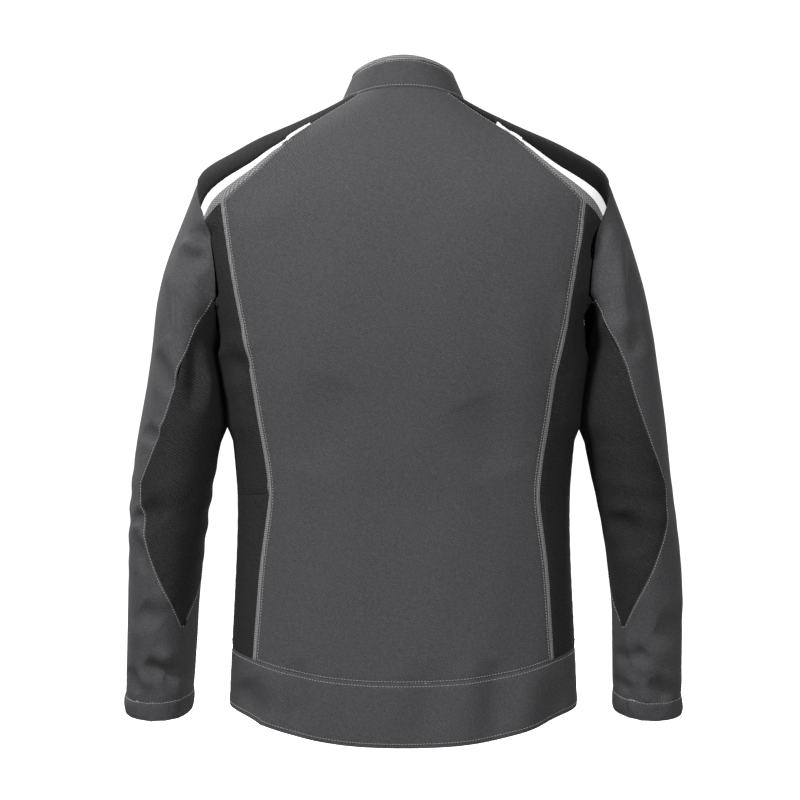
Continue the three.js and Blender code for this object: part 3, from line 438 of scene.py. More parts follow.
def keep_corners(bm, sharpest=28):
    """Marks the rim's corners, so that smoothing leaves them where they are."""
    crease = bm.verts.layers.float.new("crease_vert")
    for v in bm.verts:
        rims = [edge for edge in v.link_edges if edge.is_boundary]
        if len(rims) == 2:
            before, after = (edge.other_vert(v).co - v.co for edge in rims)
            if np.pi - before.angle(after) > np.radians(sharpest):
                v[crease] = 1.0


coarse = {}
for name, bm in sheets.items():
    keep_corners(bm)
    coarse[name] = bpy.data.meshes.new(name)
    bm.to_mesh(coarse[name])
    bm.free()
sew({name: coarse[name] for name in SEWN}, ARMPIT_REACH)

# %% [markdown]
# ## Cloth surface
# Three rounds of subdivision turn each coarse sheet into a smooth one with a point every three
# to four millimetres. Folds and creases are then pressed into it along its normals. They are worked out
# from where a point is on the jacket and not from the panel it belongs to, so that a fold runs
# on across a seam as it does in sewn cloth.

# %% Fine sheets
def with_modifier(mesh, kind, **settings):
    """A new mesh that is the given one with one modifier applied."""
    carrier = bpy.data.objects.new("carrier", mesh)
    bpy.context.scene.collection.objects.link(carrier)
    modifier = carrier.modifiers.new(kind, kind)
    for key, value in settings.items():
        setattr(modifier, key, value)
    graph = bpy.context.evaluated_depsgraph_get()
    made = bpy.data.meshes.new_from_object(carrier.evaluated_get(graph))
    bpy.data.objects.remove(carrier)
    return made


fine = {}
for name, mesh in coarse.items():
    fine[name] = with_modifier(mesh, "SUBSURF", levels=3, boundary_smooth="PRESERVE_CORNERS")
for _ in range(2):
    sew({name: fine[name] for name in SEWN}, 6 * MM)
print("fine sheets hold", sum(len(mesh.vertices) for mesh in fine.values()), "points")


def close_own_seam(mesh, reach=5 * MM, apart=20):
    """Brings together the two edges of a sheet that are sewn to each other."""
    points, _ = mesh_arrays(mesh)
    closed = points.copy()
    for loop in rim_loops(mesh):
        rim = points[loop]
        order = np.arange(len(loop))
        for i, v in enumerate(loop):
            steps = np.abs(order - i)
            distance = np.sqrt(((rim - rim[i]) ** 2).sum(axis=1))
            distance[np.minimum(steps, len(loop) - steps) < apart] = np.inf
            if distance.min() < reach:
                closed[v] = (rim[i] + rim[distance.argmin()]) / 2
    move_points(mesh, closed)


for side in SIDES:
    close_own_seam(fine[f"sleeve_cloth_{side}"])

# %% Folds
# Each fold is a bent line in the plane of the back, with its width and its depth in millimetres.
# It is a trough with a soft swell on either side, and a negative depth makes a ridge.
BACK, FRONT = 1, -1
FOLDS = {
    BACK: [
        ([(0.2287, -0.1618), (0.2101, -0.1755)], 0.005, 3.2),
        ([(0.2445, -0.1973), (0.2104, -0.1929)], 0.006, 2.2),
        ([(0.2582, -0.216), (0.2533, -0.2831)], 0.0045, 2.4),
        ([(0.2691, -0.2952), (0.2504, -0.3403)], 0.005, 2.6),
        ([(0.2797, -0.3777), (0.2681, -0.392)], 0.0045, 2.4),
        ([(0.2324, -0.2182), (0.217, -0.2578)], 0.006, -1.8),
        ([(0.2229, -0.2776), (0.2247, -0.3568)], 0.005, 2.6),
        ([(0.2115, -0.3106), (0.2131, -0.37)], 0.005, -1.6),
        ([(0.2834, -0.4602), (0.2617, -0.4811)], 0.011, 3.0),
        ([(0.2971, -0.4895), (0.2814, -0.5365)], 0.004, 2.2),
        ([(0.2951, -0.4745), (0.2863, -0.4767)], 0.0035, 1.8),
        ([(0.2814, -0.6329), (0.2627, -0.6505)], 0.006, 2.8),
        ([(0.3029, -0.6428), (0.2892, -0.6681)], 0.005, 2.4),
        ([(0.2627, -0.6505), (0.2401, -0.6406)], 0.006, 2.2),
        ([(0.2874, -0.5735), (0.2656, -0.5915)], 0.008, 2.0),
        ([(-0.2499, -0.1731), (-0.2529, -0.2677)], 0.006, 2.8),
        ([(-0.2538, -0.2622), (-0.2489, -0.3012)], 0.006, 2.2),
        ([(-0.1979, -0.2325), (-0.1959, -0.3205)], 0.008, 3.6),
        ([(-0.2098, -0.1544), (-0.2038, -0.1973)], 0.005, 2.0),
        ([(-0.2098, -0.2578), (-0.2373, -0.2776)], 0.008, -1.6),
        ([(-0.2746, -0.5915), (-0.3055, -0.6014)], 0.009, 2.4),
        ([(-0.2489, -0.6307), (-0.2647, -0.6208)], 0.006, 2.0),
        ([(-0.2706, -0.6525), (-0.2901, -0.6758)], 0.006, 2.6),
        ([(-0.2318, -0.6219), (-0.245, -0.6351)], 0.004, 1.8),
        ([(-0.2307, -0.6516), (-0.245, -0.667)], 0.004, 1.8),
        ([(-0.2373, -0.4679), (-0.2509, -0.515)], 0.011, 2.8),
        ([(0.1851, -0.139), (0.1521, -0.1159), (0.1257, -0.1071)], 0.012, 1.6),
        ([(0.1994, -0.3007), (0.1675, -0.3194)], 0.008, 2.2),
        ([(0.1136, -0.6252), (0.1169, -0.7198)], 0.01, 2.0),
        ([(-0.0954, -0.6252), (-0.0998, -0.722)], 0.01, 1.8),
        ([(0.1752, -0.6516), (0.1532, -0.6956)], 0.013, 2.8),
        ([(-0.1746, -0.6472), (-0.1592, -0.7165)], 0.011, 2.2),
        ([(-0.0294, -0.6285), (-0.0228, -0.7242)], 0.012, 1.2),
        ([(0.0696, -0.326), (0.1026, -0.425)], 0.022, 1.6),
        ([(-0.0734, -0.348), (-0.1064, -0.425)], 0.022, 1.4),
    ],
    FRONT: [
        ([(0.19, -0.17), (0.14, -0.21), (0.06, -0.222)], 0.0087, 1.3),
        ([(-0.19, -0.168), (-0.14, -0.206), (-0.07, -0.215)], 0.0087, 1.3),
        ([(0.15, -0.415), (0.06, -0.445)], 0.0099, 1.6),
        ([(-0.15, -0.42), (-0.055, -0.44)], 0.0099, 1.5),
        ([(0.262, -0.25), (0.246, -0.33)], 0.0074, 2.2),
        ([(-0.262, -0.252), (-0.248, -0.335)], 0.0074, 2.2),
        ([(0.29, -0.44), (0.236, -0.462)], 0.0074, 2.6),
        ([(-0.29, -0.442), (-0.236, -0.46)], 0.0074, 2.6),
        ([(0.292, -0.476), (0.24, -0.5)], 0.0068, 2.4),
        ([(-0.292, -0.478), (-0.24, -0.498)], 0.0068, 2.4),
        ([(0.295, -0.64), (0.255, -0.668)], 0.0062, 1.6),
        ([(-0.295, -0.64), (-0.255, -0.664)], 0.0062, 1.6),
    ],
}
FOLD_STRENGTH = 2.9
FOLD_WIDTH = 1.5
SWELL_HEIGHT = 0.30              # a swell beside a fold, as shares of its depth and width
SWELL_PLACE = 2.1
SWELL_WIDTH = 0.9


def along_line(points, line):
    """Distance of points from a bent line, and a share that fades towards the line's ends."""
    best = np.full(len(points), 1e9)
    fade = np.zeros(len(points))
    lengths = [np.hypot(*(np.subtract(b, a))) for a, b in zip(line, line[1:])]
    total, before = sum(lengths), 0
    for a, b, length in zip(line, line[1:], lengths):
        a, direction = np.array(a), np.subtract(b, a) / length
        offset = points - a
        t = np.clip(offset @ direction, 0, length)
        gap = offset - t[:, None] * direction
        distance = np.hypot(gap[:, 0], gap[:, 1])
        nearer = distance < best
        best[nearer] = distance[nearer]
        fade[nearer] = np.sin(np.pi * np.clip((before + t[nearer]) / total, 0, 1)) ** 0.7
        before += length
    return best, fade


def fold_heights(points, normals):
    heights = np.zeros(len(points))
    flat = points[:, [0, 2]]
    for facing, folds in FOLDS.items():
        shown = np.clip(normals[:, 1] * facing * 1.6, 0, 1)
        for line, width, depth in folds:
            distance, fade = along_line(flat, line)
            t = distance / (width * FOLD_WIDTH)
            swell = SWELL_HEIGHT * np.exp(-((t - SWELL_PLACE) / SWELL_WIDTH) ** 2)
            heights += FOLD_STRENGTH * depth * MM * (swell - np.exp(-t ** 2)) * fade * shown
    return heights


# %% Drape
# Slow waves run mostly up and down on the body and round the sleeves. They come from fixed sine
# waves, so every run gives the same cloth.
rng = np.random.default_rng(11)
WAVES = []
for _ in range(26):
    length = rng.uniform(0.055, 0.13)
    lean = rng.normal(0, 0.5)
    WAVES.append((np.cos(lean) / length, rng.normal(0, 0.35) / length,
                  np.sin(lean) / length * 0.55, rng.uniform(0, 2 * np.pi), length))


def loose_at(points):
    """How loosely the cloth hangs: the sleeves and the lower body more than the shoulders."""
    x, z = np.abs(points[:, 0]), points[:, 2]
    sleeve = np.clip((x - 0.195) / 0.03, 0, 1) * np.clip((-z - 0.15) / 0.1, 0, 1)
    lower_body = np.clip((-z - 0.15) / 0.5, 0, 1)
    return 0.45 + 0.35 * lower_body + 0.75 * sleeve


def drape_heights(points):
    heights = np.zeros(len(points))
    for kx, ky, kz, phase, length in WAVES:
        turn = 2 * np.pi * (kx * points[:, 0] + ky * points[:, 1] + kz * points[:, 2]) + phase
        heights += np.sin(turn) * length
    return heights * loose_at(points) * MM / 0.09 / np.sqrt(len(WAVES) / 2)


def sleeve_rings(points):
    """Soft rings that gather where a sleeve bends and where it ends at the cuff."""
    x, z = np.abs(points[:, 0]), points[:, 2]
    around = np.arctan2(points[:, 1] + 0.04, x - 0.26)
    elbow = np.exp(-((z + 0.470) / 0.055) ** 2)
    wrist = np.exp(-((z + 0.690) / 0.035) ** 2)
    slant = z + 0.006 * np.sin(around + 0.8) + 0.004 * np.sin(2 * around)
    skew = np.where(points[:, 0] > 0, 0.4, 2.3)
    rings = np.sin(2 * np.pi * slant / 0.031 + skew) * (0.55 + 0.45 * np.cos(around * 2 + skew))
    return (1.0 * elbow + 0.9 * wrist) * rings * MM


# Heights below the armpit, in metres, and how far each of the two moves there, in millimetres.
LEAN_LEVELS = (-0.395, -0.375, -0.358, -0.345, -0.326, -0.310, -0.298, -0.290, -0.270)
LEANS = (0, 5.8, 5.8, 5.4, 5.6, 6.0, 5.6, 3.6, 0)
SLEEVE_INNER_X, SLEEVE_FADE = 0.240, 0.022
RIM_KEPT, RIM_FADE = 4 * MM, 14 * MM


def lean_together(name, points):
    """Moves the sleeve and the side of the body towards each other below the armpit."""
    lean = np.interp(points[:, 2], LEAN_LEVELS, LEANS) * MM
    if family(name) in SLEEVE_RUNS:
        share = -np.clip((SLEEVE_INNER_X - np.abs(points[:, 0])) / SLEEVE_FADE, 0, 1)
    elif family(name) == "side_panel_upper":
        rim = points[[v for loop in rim_loops(fine[name]) for v in loop]]
        to_rim = np.array([np.sqrt(((rim - point) ** 2).sum(axis=1).min()) for point in points])
        share = np.clip((to_rim - RIM_KEPT) / RIM_FADE, 0, 1)
    else:
        share = np.zeros(len(points))
    return lean * share * np.sign(points[:, 0])


for name in SEWN:
    points, normals = mesh_arrays(fine[name])
    points[:, 0] += lean_together(name, points)
    heights = fold_heights(points, normals) + drape_heights(points)
    if family(name) in (*SLEEVE_RUNS, "cuff_hem"):
        heights += sleeve_rings(points)
    move_points(fine[name], points + normals * heights[:, None])
for side in SIDES:
    close_own_seam(fine[f"sleeve_cloth_{side}"])
print("folds pressed into", len(SEWN), "sheets")

# %% [markdown]
# A seam pulls its two panels down into a shallow valley, and the tight thread gathers the cloth
# beside it into small puckers. Both depend only on how far a point is from its panel's edge.

# %% Seam valleys and puckers
VALLEY_DEPTH = 0.8 * MM
PUCKER_LENGTH = 15 * MM

for name in SEWN:
    mesh = fine[name]
    points, normals = mesh_arrays(mesh)
    places, alongs = [], []
    for loop in rim_loops(mesh):
        ring = points[loop]
        steps = np.hypot.reduce(np.diff(ring, axis=0), axis=1)
        alongs += list(np.concatenate([[0], np.cumsum(steps)]))
        places += list(ring)
    index = point_index(places)
    found = [index.find(point) for point in points]
    distance = np.array([hit[2] for hit in found])
    along = np.array([alongs[hit[1]] for hit in found])
    beat = np.sin(2 * np.pi * along / PUCKER_LENGTH + 2.2 * np.sin(along / 0.037))
    strength = 0.6 + 0.4 * np.sin(along / 0.083 + 1.0)
    puckers = 0.32 * MM * beat * strength * np.exp(-distance / 0.009)
    puckers *= 1 - np.exp(-(distance / 0.003) ** 2)
    heights = puckers - VALLEY_DEPTH * np.exp(-(distance / 0.0030) ** 2)
    move_points(mesh, points + normals * heights[:, None])
print("seam valleys", VALLEY_DEPTH / MM, "mm deep")

# %% [markdown]
# ## Cloth directions
# Woven cloth needs to know which way its threads run. Each sheet gets flat coordinates in metres:
# the way round the body or sleeve, and the height. The weave is drawn in those coordinates, so
# its lines keep their slant and spacing on every panel.

# %% Flat coordinates
BODY_CENTRE_Y = -0.033
angles = np.linspace(-np.pi, np.pi, 721)
outline = np.stack([np.sin(angles), np.cos(angles)], axis=1) * (0.190, 0.112)
squareness = (np.abs(np.sin(angles)) ** 2.5 + np.abs(np.cos(angles)) ** 2.5) ** (-1 / 2.5)
outline *= squareness[:, None]
arc = np.concatenate([[0], np.cumsum(np.hypot(*np.diff(outline, axis=0).T))])
arc -= arc[360]
directions = np.unwrap(np.arctan2(outline[:, 0], outline[:, 1]))
SLEEVE_RADIUS = 0.050


def flat_coordinates(mesh, name):
    """Writes the cloth coordinates, in metres, to the mesh's UV map."""
    points, _ = mesh_arrays(mesh)
    x, y, z = points.T
    kind = family(name)
    if kind in SLEEVE_NODES or kind in SLEEVE_RUNS:
        axis_x = np.interp(z, SLEEVE_AXIS[::-1, 2], SLEEVE_AXIS[::-1, 0])
        axis_y = np.interp(z, SLEEVE_AXIS[::-1, 2], SLEEVE_AXIS[::-1, 1])
        u = np.arctan2(np.abs(x) - axis_x, y - axis_y) * SLEEVE_RADIUS * np.sign(x)
        v, period = z, 2 * np.pi * SLEEVE_RADIUS
    elif kind == "yoke":
        u, period = x, 10.0
        v = y + np.sign(y + 0.03) * (-0.02 - 0.55 * np.abs(x) - z)
    else:
        u = np.interp(np.arctan2(x, y - BODY_CENTRE_Y), directions, arc)
        v, period = z, arc[-1] - arc[0]
    corners = np.empty(len(mesh.loops), dtype=int)
    mesh.loops.foreach_get("vertex_index", corners)
    counts = np.array([polygon.loop_total for polygon in mesh.polygons])
    first = np.repeat(np.cumsum(counts) - counts, counts)
    flat_u = u[corners]
    flat_u -= period * np.round((flat_u - flat_u[first]) / period)
    layer = mesh.uv_layers.new(name="cloth")
    layer.data.foreach_set("uv", np.stack([flat_u, v[corners]], axis=1).ravel())


fine_panels = LOOSE_PANELS + SEWN + ["collar_band"]
for name in fine_panels:
    flat_coordinates(fine[name], name)
print("cloth coordinates on", len(fine_panels), "sheets")

# %% [markdown]
# ## Twill
# The shell is a workwear twill of cotton and polyester, woven in a 2/1 diagonal and piece-dyed
# dark grey or black. Its threads are about 0.5 mm apart. They are too fine to show from three
# metres, so the diagonal is drawn 2.3 mm apart. Cloth has no gloss, but loose fibre ends give it
# a faint sheen at the edges, and the dye takes a little unevenly. The yoke on top of the shoulders
# gets a darker copy of the black twill, which is painted shade there.

# %% Twill material
def wave_scale(spacing):
    """The wave texture's scale that puts its bands the given distance apart, in metres."""
    return 2 * np.pi / (20 * spacing)


RIB_SPACING = 2.3 * MM
RIB_SLANT = 0.95


def twill(name, ground, rib, fade):
    material, tree = new_material(name)
    cloth = node(tree, "UVMap", uv_map="cloth")
    turned = node(tree, "Mapping", {"Vector": cloth.outputs["UV"], "Rotation": (0, 0, RIB_SLANT)})
    ribs = node(tree, "TexWave", {
        "Vector": turned.outputs[0], "Scale": wave_scale(RIB_SPACING), "Distortion": 5.0,
        "Detail": 2.0, "Detail Scale": 3.0}).outputs["Fac"]
    place = node(tree, "TexCoord").outputs["Object"]
    mottle = noise_at(tree, place, 34, 5, 0.62)
    slub = noise_at(tree, place, 420, 3, 0.75)
    woven = colour_between(tree, ribs, ground, rib)
    uneven = value_between(tree, mottle, 0, 0.55, 0.35, 0.75)
    dyed = colour_between(tree, uneven, woven, fade)
    speckle = value_between(tree, slub, 0.78, 1.2, 0.3, 0.7)
    colour = node(tree, "VectorMath", {0: dyed, 1: speckle}, operation="MULTIPLY")
    height = node(tree, "Math", {0: ribs, 1: slub}, operation="ADD")
    surface(tree, colour.outputs[0], value_between(tree, slub, 0.82, 0.98), {
        "Normal": relief(tree, height.outputs[0], 0.00022, 0.55), "Specular IOR Level": 0.18,
        "Sheen Weight": 0.03, "Sheen Roughness": 0.5, "Sheen Tint": linear("#b0b0b4")})
    return material


grey_twill = twill("dark_grey_workwear_twill", "#49494b", "#58585a", "#515153")
black_twill = twill("black_workwear_twill", "#202020", "#383838", "#2f2f30")
# A darker copy of the black twill for the yoke: painted shade on the top of the shoulders.
painted_shade_black_twill = twill("black_shoulder_twill", "#0c0c0c", "#191919", "#121213")
print("twill ribs every", RIB_SPACING / MM, "mm, wave scale", round(wave_scale(RIB_SPACING)))

# %% [markdown]
# ## Piping, reflective tape and zip tape
# The light bands are a grosgrain piping: a ribbed polyester ribbon, ribs across its length, about
# 1 mm apart. The shoulder stripe is retroreflective tape: glass beads on a coated cloth, which
# look an even soft silver-white with a fine grain. Part of its brightness is a painted glow: the
# tape's material emits a little light of its own, though it is no lamp. The zip tape is a dense black
# knit.

# %% Ribbon material
def ribbon(name, groove, ridge, spacing, sheen, roughness, painted_glow=0.0):
    material, tree = new_material(name)
    cloth = node(tree, "UVMap", uv_map="cloth")
    bands = [node(tree, "TexWave", {
        "Vector": cloth.outputs["UV"], "Scale": wave_scale(spacing), "Distortion": 0.2},
        bands_direction=direction).outputs["Fac"] for direction in ("Y", "X")]
    grid = node(tree, "Math", {0: bands[0], 1: bands[1]}, operation="MULTIPLY").outputs[0]
    # The emission is a painted glow that brightens a ribbon though it is no lamp; only the reflective
    # tape is given one.
    surface(tree, colour_between(tree, grid, groove, ridge), roughness, {
        "Normal": relief(tree, grid, 0.0002, 0.5), "Sheen Weight": sheen,
        "Specular IOR Level": 0.3, "Emission Color": (1, 1, 1, 1),
        "Emission Strength": painted_glow})
    return material


light_piping = ribbon("grey_grosgrain_piping", "#6c6c6c", "#b4b4b4", 2.2 * MM, 0.05, 0.75)
# The last setting, 0.3, is a painted glow: emission that makes the tape shine though it is no lamp.
reflective_tape = ribbon("reflective_bead_tape", "#f4f4f4", "#ffffff", 2.0 * MM, 0.0, 0.4, 0.3)
zip_tape_cloth = ribbon("black_knitted_zip_tape", "#141415", "#2a2a2c", 1.2 * MM, 0.1, 0.85)
neck_ribbon = ribbon("black_cotton_neck_tape", "#1a1a1b", "#303032", 1.6 * MM, 0.15, 0.85)

# %% [markdown]
# ## Metal and moulded plastic
# The zip slider, pull, stops and snaps are plated brass with a gunmetal finish, tumbled and
# brushed, so they are dark, half glossy and lighter where fingers wear the edges. The teeth are
# moulded acetal plastic, matt black with a very fine grain from the mould.

# %% Hardware materials
def plated(name, dark, light):
    material, tree = new_material(name)
    place = node(tree, "TexCoord").outputs["Object"]
    brushed = node(tree, "Mapping", {"Vector": place, "Scale": (1, 1, 0.15)})
    grain = noise_at(tree, brushed.outputs[0], 2200, 3, 0.6)
    shape = node(tree, "NewGeometry")
    worn = value_between(tree, shape.outputs["Pointiness"], 0, 1, 0.5, 0.62)
    surface(tree, colour_between(tree, worn, dark, light), value_between(tree, grain, 0.26, 0.46), {
        "Metallic": 1.0, "Normal": relief(tree, grain, 0.00005, 0.4)})
    return material


gunmetal = plated("gunmetal_plated_brass", "#55555a", "#8d8d92")

acetal, tree = new_material("black_moulded_acetal")
grain = noise_at(tree, node(tree, "TexCoord").outputs["Object"], 3000, 2)
surface(tree, linear("#1a1a1b"), value_between(tree, grain, 0.38, 0.55), {
    "Normal": relief(tree, grain, 0.00004, 0.5), "IOR": 1.48})
print("hardware finishes:", gunmetal.name, "and", acetal.name)

# %% [markdown]
# ## Panels
# Each sheet is given the cloth's thickness inwards, so its outer face stays where the folds put
# it. Edges sharper than fifty degrees are kept crisp, which draws the cut edge of the cloth.

# %% Build the panels
CLOTH_THICKNESS = 1.4 * MM
MATERIAL_OF = {
    "grey": (grey_twill, "grey_twill", (
        "back_panel", "hem_band_back", "hem_band_front", "front_panel", "collar_outer",
        "chest_pocket", "chest_flap", "sleeve_cloth", "cuff_hem")),
    "black": (black_twill, "black_twill", (
        "side_panel_upper", "side_panel_lower", "front_side_panel", "front_facing",
        "elbow_cloth", "collar_lining", "hip_pocket_welt")),
    # The yoke's darker copy of the black twill is painted shade on the top of the shoulders.
    "deep": (painted_shade_black_twill, "black_twill", ("yoke",)),
    "light": (light_piping, "light_band", ("princess_band", "shoulder_band", "collar_band")),
    "white": (reflective_tape, "reflective_tape", ("shoulder_stripe",)),
    "zip": (zip_tape_cloth, "zip_tape", ("zip_tape",)),
    "neck": (neck_ribbon, "black_twill", ("neck_tape",)),
}
finish_of = {kind: (material, slot) for material, slot, kinds in MATERIAL_OF.values()
             for kind in kinds}
BODY_OF = {"chest_flap": "chest_flap_{side}", "cuff_hem": "forearm_{side}"}


def show(name, mesh, material, slot, replaced=(), body=None):
    """Puts a mesh in the scene as a piece, with its finish, its body and what it stands for."""
    mesh.materials.clear()
    mesh.materials.append(material)
    piece = bpy.data.objects.new(name, mesh)
    bpy.context.scene.collection.objects.link(piece)
    if replaced:
        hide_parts(*replaced)
    if body:
        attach(piece, body)
    return piece


def smooth_with_crisp_edges(mesh, sharpest=50):
    mesh.polygons.foreach_set("use_smooth", [True] * len(mesh.polygons))
    mesh.set_sharp_from_angle(angle=np.radians(sharpest))


cloth_pieces = {}
for name in fine_panels:
    kind = family(name)
    if kind in SLEEVE_RUNS:
        continue
    solid = with_modifier(fine[name], "SOLIDIFY", thickness=CLOTH_THICKNESS, offset=-1)
    smooth_with_crisp_edges(solid)
    material, slot = finish_of[kind]
    side = name.rsplit("_", 1)[-1]
    body = BODY_OF.get(kind, "jacket_body").format(side=side)
    cloth_pieces[name] = show(f"{name}_cloth", solid, material, slot, (name,), body)
print("panels built:", len(cloth_pieces))

# %% [markdown]
# ## Sleeves in two parts
# A sleeve is one length of cloth that bends twice, at the shoulder and at the elbow. A piece can
# follow only one joint, so the finished sleeve is parted just above the elbow, where nothing
# bends. Both parts keep the shading of the whole, so the parting doesn't show.

# %% Build the sleeves
PARTING_Z = -0.412
SHOULDER_PIVOT = np.array((0.258, -0.0315, -0.1928))
SHOULDER_CUT_NORMAL = np.array((0.918, 0, -0.396))


def bend_lines(side):
    """Where the cloth starts and ends to turn with the shoulder and with the elbow."""
    mirror = np.array((1 if side == "left" else -1, 1, 1))
    start = (SHOULDER_PIVOT - 0.012 * SHOULDER_CUT_NORMAL) * mirror
    end = (SHOULDER_PIVOT + 0.046 * SHOULDER_CUT_NORMAL) * mirror
    elbow_top, elbow_bottom = np.array((0.2575, -0.04, -0.425)), np.array((0.2575, -0.04, -0.521))
    return {
        "upper": ("jacket_body", f"upper_sleeve_{side}", tuple(start), tuple(end)),
        "lower": (f"upper_sleeve_{side}", f"forearm_{side}",
                  tuple(elbow_top * mirror), tuple(elbow_bottom * mirror)),
    }


def in_part(part, heights):
    return heights > PARTING_Z if part == "upper" else heights <= PARTING_Z


def share_of(mesh, sheet, wanted):
    """A closed mesh of the wanted faces of a sheet, with the whole mesh's coordinates and shading.
    The whole mesh holds the sheet's outer faces, then the same faces inside, then its rim."""
    count, inside = len(sheet.polygons), len(sheet.vertices)
    normals = np.array([tuple(corner.vector) for corner in mesh.corner_normals])
    uv = np.empty(len(mesh.loops) * 2)
    mesh.uv_layers["cloth"].data.foreach_get("uv", uv)
    uv = uv.reshape(-1, 2)
    owner = {}
    for polygon in sheet.polygons:
        for edge in polygon.edge_keys:
            owner.setdefault(edge, []).append(polygon.index)
    faces, corners = [], []
    for polygon in mesh.polygons:
        if polygon.index < 2 * count:
            chosen = wanted[polygon.index % count]
        else:
            rim = sorted(v for v in polygon.vertices if v < inside)
            chosen = wanted[owner[tuple(rim)][0]]
        if chosen:
            faces.append(list(polygon.vertices))
            corners += list(polygon.loop_indices)
    shaded = [tuple(normals[corner]) for corner in corners]
    flat = [tuple(uv[corner]) for corner in corners]
    for edge, owners in owner.items():
        if len(owners) == 2 and wanted[owners[0]] != wanted[owners[1]]:
            near = owners[0] if wanted[owners[0]] else owners[1]
            ring = list(sheet.polygons[near].vertices)
            a, b = edge if ring[(ring.index(edge[0]) + 1) % len(ring)] == edge[1] else edge[::-1]
            faces.append([b, a, a + inside, b + inside])
            along = mesh.vertices[b].co - mesh.vertices[a].co
            wall = along.cross(mesh.vertices[a + inside].co - mesh.vertices[a].co).normalized()
            shaded += [tuple(-wall)] * 4
            flat += [(0, 0)] * 4
    used = sorted({v for face in faces for v in face})
    renumber = {v: i for i, v in enumerate(used)}
    made = bpy.data.meshes.new(mesh.name)
    made.from_pydata([mesh.vertices[v].co for v in used], [],
                     [[renumber[v] for v in face] for face in faces])
    made.uv_layers.new(name="cloth").data.foreach_set("uv", np.array(flat).ravel())
    made.polygons.foreach_set("use_smooth", [True] * len(faces))
    made.normals_split_custom_set(shaded)
    return made


for side in SIDES:
    for run, parts in SLEEVE_RUNS.items():
        sheet = fine[f"{run}_{side}"]
        whole = with_modifier(sheet, "SOLIDIFY", thickness=CLOTH_THICKNESS, offset=-1)
        smooth_with_crisp_edges(whole)
        heights = np.array([polygon.center.z for polygon in sheet.polygons])
        material, slot = finish_of[run]
        stands_for = {"upper": parts[:2], "lower": parts[2:]}
        for part, (first, second, start, end) in bend_lines(side).items():
            chosen = in_part(part, heights)
            name = f"{run}_{part}_{side}"
            nodes_replaced = [f"{kind}_{side}" for kind in stands_for[part]]
            piece = show(name, share_of(whole, sheet, chosen), material, slot, nodes_replaced)
            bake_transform(piece)
            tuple(start)
            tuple(end)
            cloth_pieces[name] = piece
print("sleeve pieces built")

# %% [markdown]
# ## The cutting list
# Every panel is cut flat before it is sewn. The list gives the width and the length of the
# rectangle that each pattern piece needs, and the area of the piece itself, all in metres. They
# are measured from the finished panels. A sleeve's pieces are listed above and below its parting.

CUT = {
    "back_panel": (0.40, 0.66, 0.208), "front_panel": (0.19, 0.57, 0.083),
    "front_side_panel": (0.10, 0.48, 0.034), "side_panel_upper": (0.10, 0.33, 0.0198),
    "side_panel_lower": (0.09, 0.19, 0.0133), "yoke": (0.21, 0.21, 0.0298),
    "hem_band_back": (0.42, 0.085, 0.033), "hem_band_front": (0.225, 0.075, 0.0156),
    "collar_outer": (0.34, 0.046, 0.0133), "collar_lining": (0.31, 0.042, 0.0112),
    "collar_band": (0.34, 0.010, 0.0020), "chest_pocket": (0.105, 0.125, 0.0121),
    "chest_flap": (0.110, 0.050, 0.0050), "cuff_hem": (0.29, 0.022, 0.0062),
    "front_facing": (0.037, 0.60, 0.0197), "hip_pocket_welt": (0.021, 0.111, 0.0022),
    "neck_tape": (0.15, 0.014, 0.0018), "princess_band": (0.010, 0.51, 0.0031),
    "shoulder_band": (0.010, 0.14, 0.0011), "shoulder_stripe": (0.012, 0.165, 0.0015),
    "zip_tape": (0.016, 0.63, 0.0093), "sleeve_cloth_upper": (0.30, 0.31, 0.057),
    "sleeve_cloth_lower": (0.30, 0.28, 0.063), "elbow_cloth_upper": (0.17, 0.18, 0.0233),
    "elbow_cloth_lower": (0.18, 0.20, 0.0209),
}

for name, piece in cloth_pieces.items():
    width, length, area = CUT[family(name)]
print("sheets declared:", len(cloth_pieces))

# %% [markdown]
# ## Topstitching
# Contrast topstitching holds every seam flat. It is a lockstitch in a light grey polyester thread
# about half a millimetre thick, with a stitch every three millimetres. Each stitch is a small
# capsule of its own that dips into the cloth at both ends. The rows are found from the panels'
# edges: an edge is told by the panel that it meets, and the row runs at a set distance inside it.

# %% Thread
STITCH_PITCH = 3.3 * MM
STITCH_LENGTH = 2.5 * MM
THREAD = 0.75 * MM


def thread_of(name, dark, light):
    material, tree = new_material(name)
    ply = noise_at(tree, node(tree, "TexCoord").outputs["Object"], 1800, 2)
    surface(tree, colour_between(tree, ply, dark, light), 0.6, {
        "Normal": relief(tree, ply, 0.0001, 0.5), "Sheen Weight": 0.1})
    return material


thread = thread_of("light_grey_polyester_thread", "#8a8a8a", "#bebebe")
black_thread = thread_of("black_polyester_thread", "#0c0c0c", "#262626")
print("a stitch every", STITCH_PITCH / MM, "mm")

# %% Rows of stitches
final_net = rim_net({name: fine[name] for name in SEWN + ["collar_band"]})
FREE = "free"


def edge_runs(name, beside):
    """Stretches of a sheet's rim that meet one of the given kinds of panel, or nothing."""
    mesh = fine[name]
    points, normals = mesh_arrays(mesh)
    for loop in rim_loops(mesh):
        met = []
        for v in loop:
            _, other = neighbour_at(final_net, name, points[v], 3.2 * MM)
            met.append(FREE if other is None else family(other))
        wanted = [kind in beside for kind in met]
        if all(wanted):
            yield points[loop + loop[:1]], normals[loop + loop[:1]]
            continue
        first = wanted.index(False)
        run = []
        for v, use in zip(loop[first:] + loop[:first + 1], wanted[first:] + wanted[:first + 1]):
            if use:
                run.append(v)
            elif len(run) > 3:
                yield points[run], normals[run]
            run = run if use else []


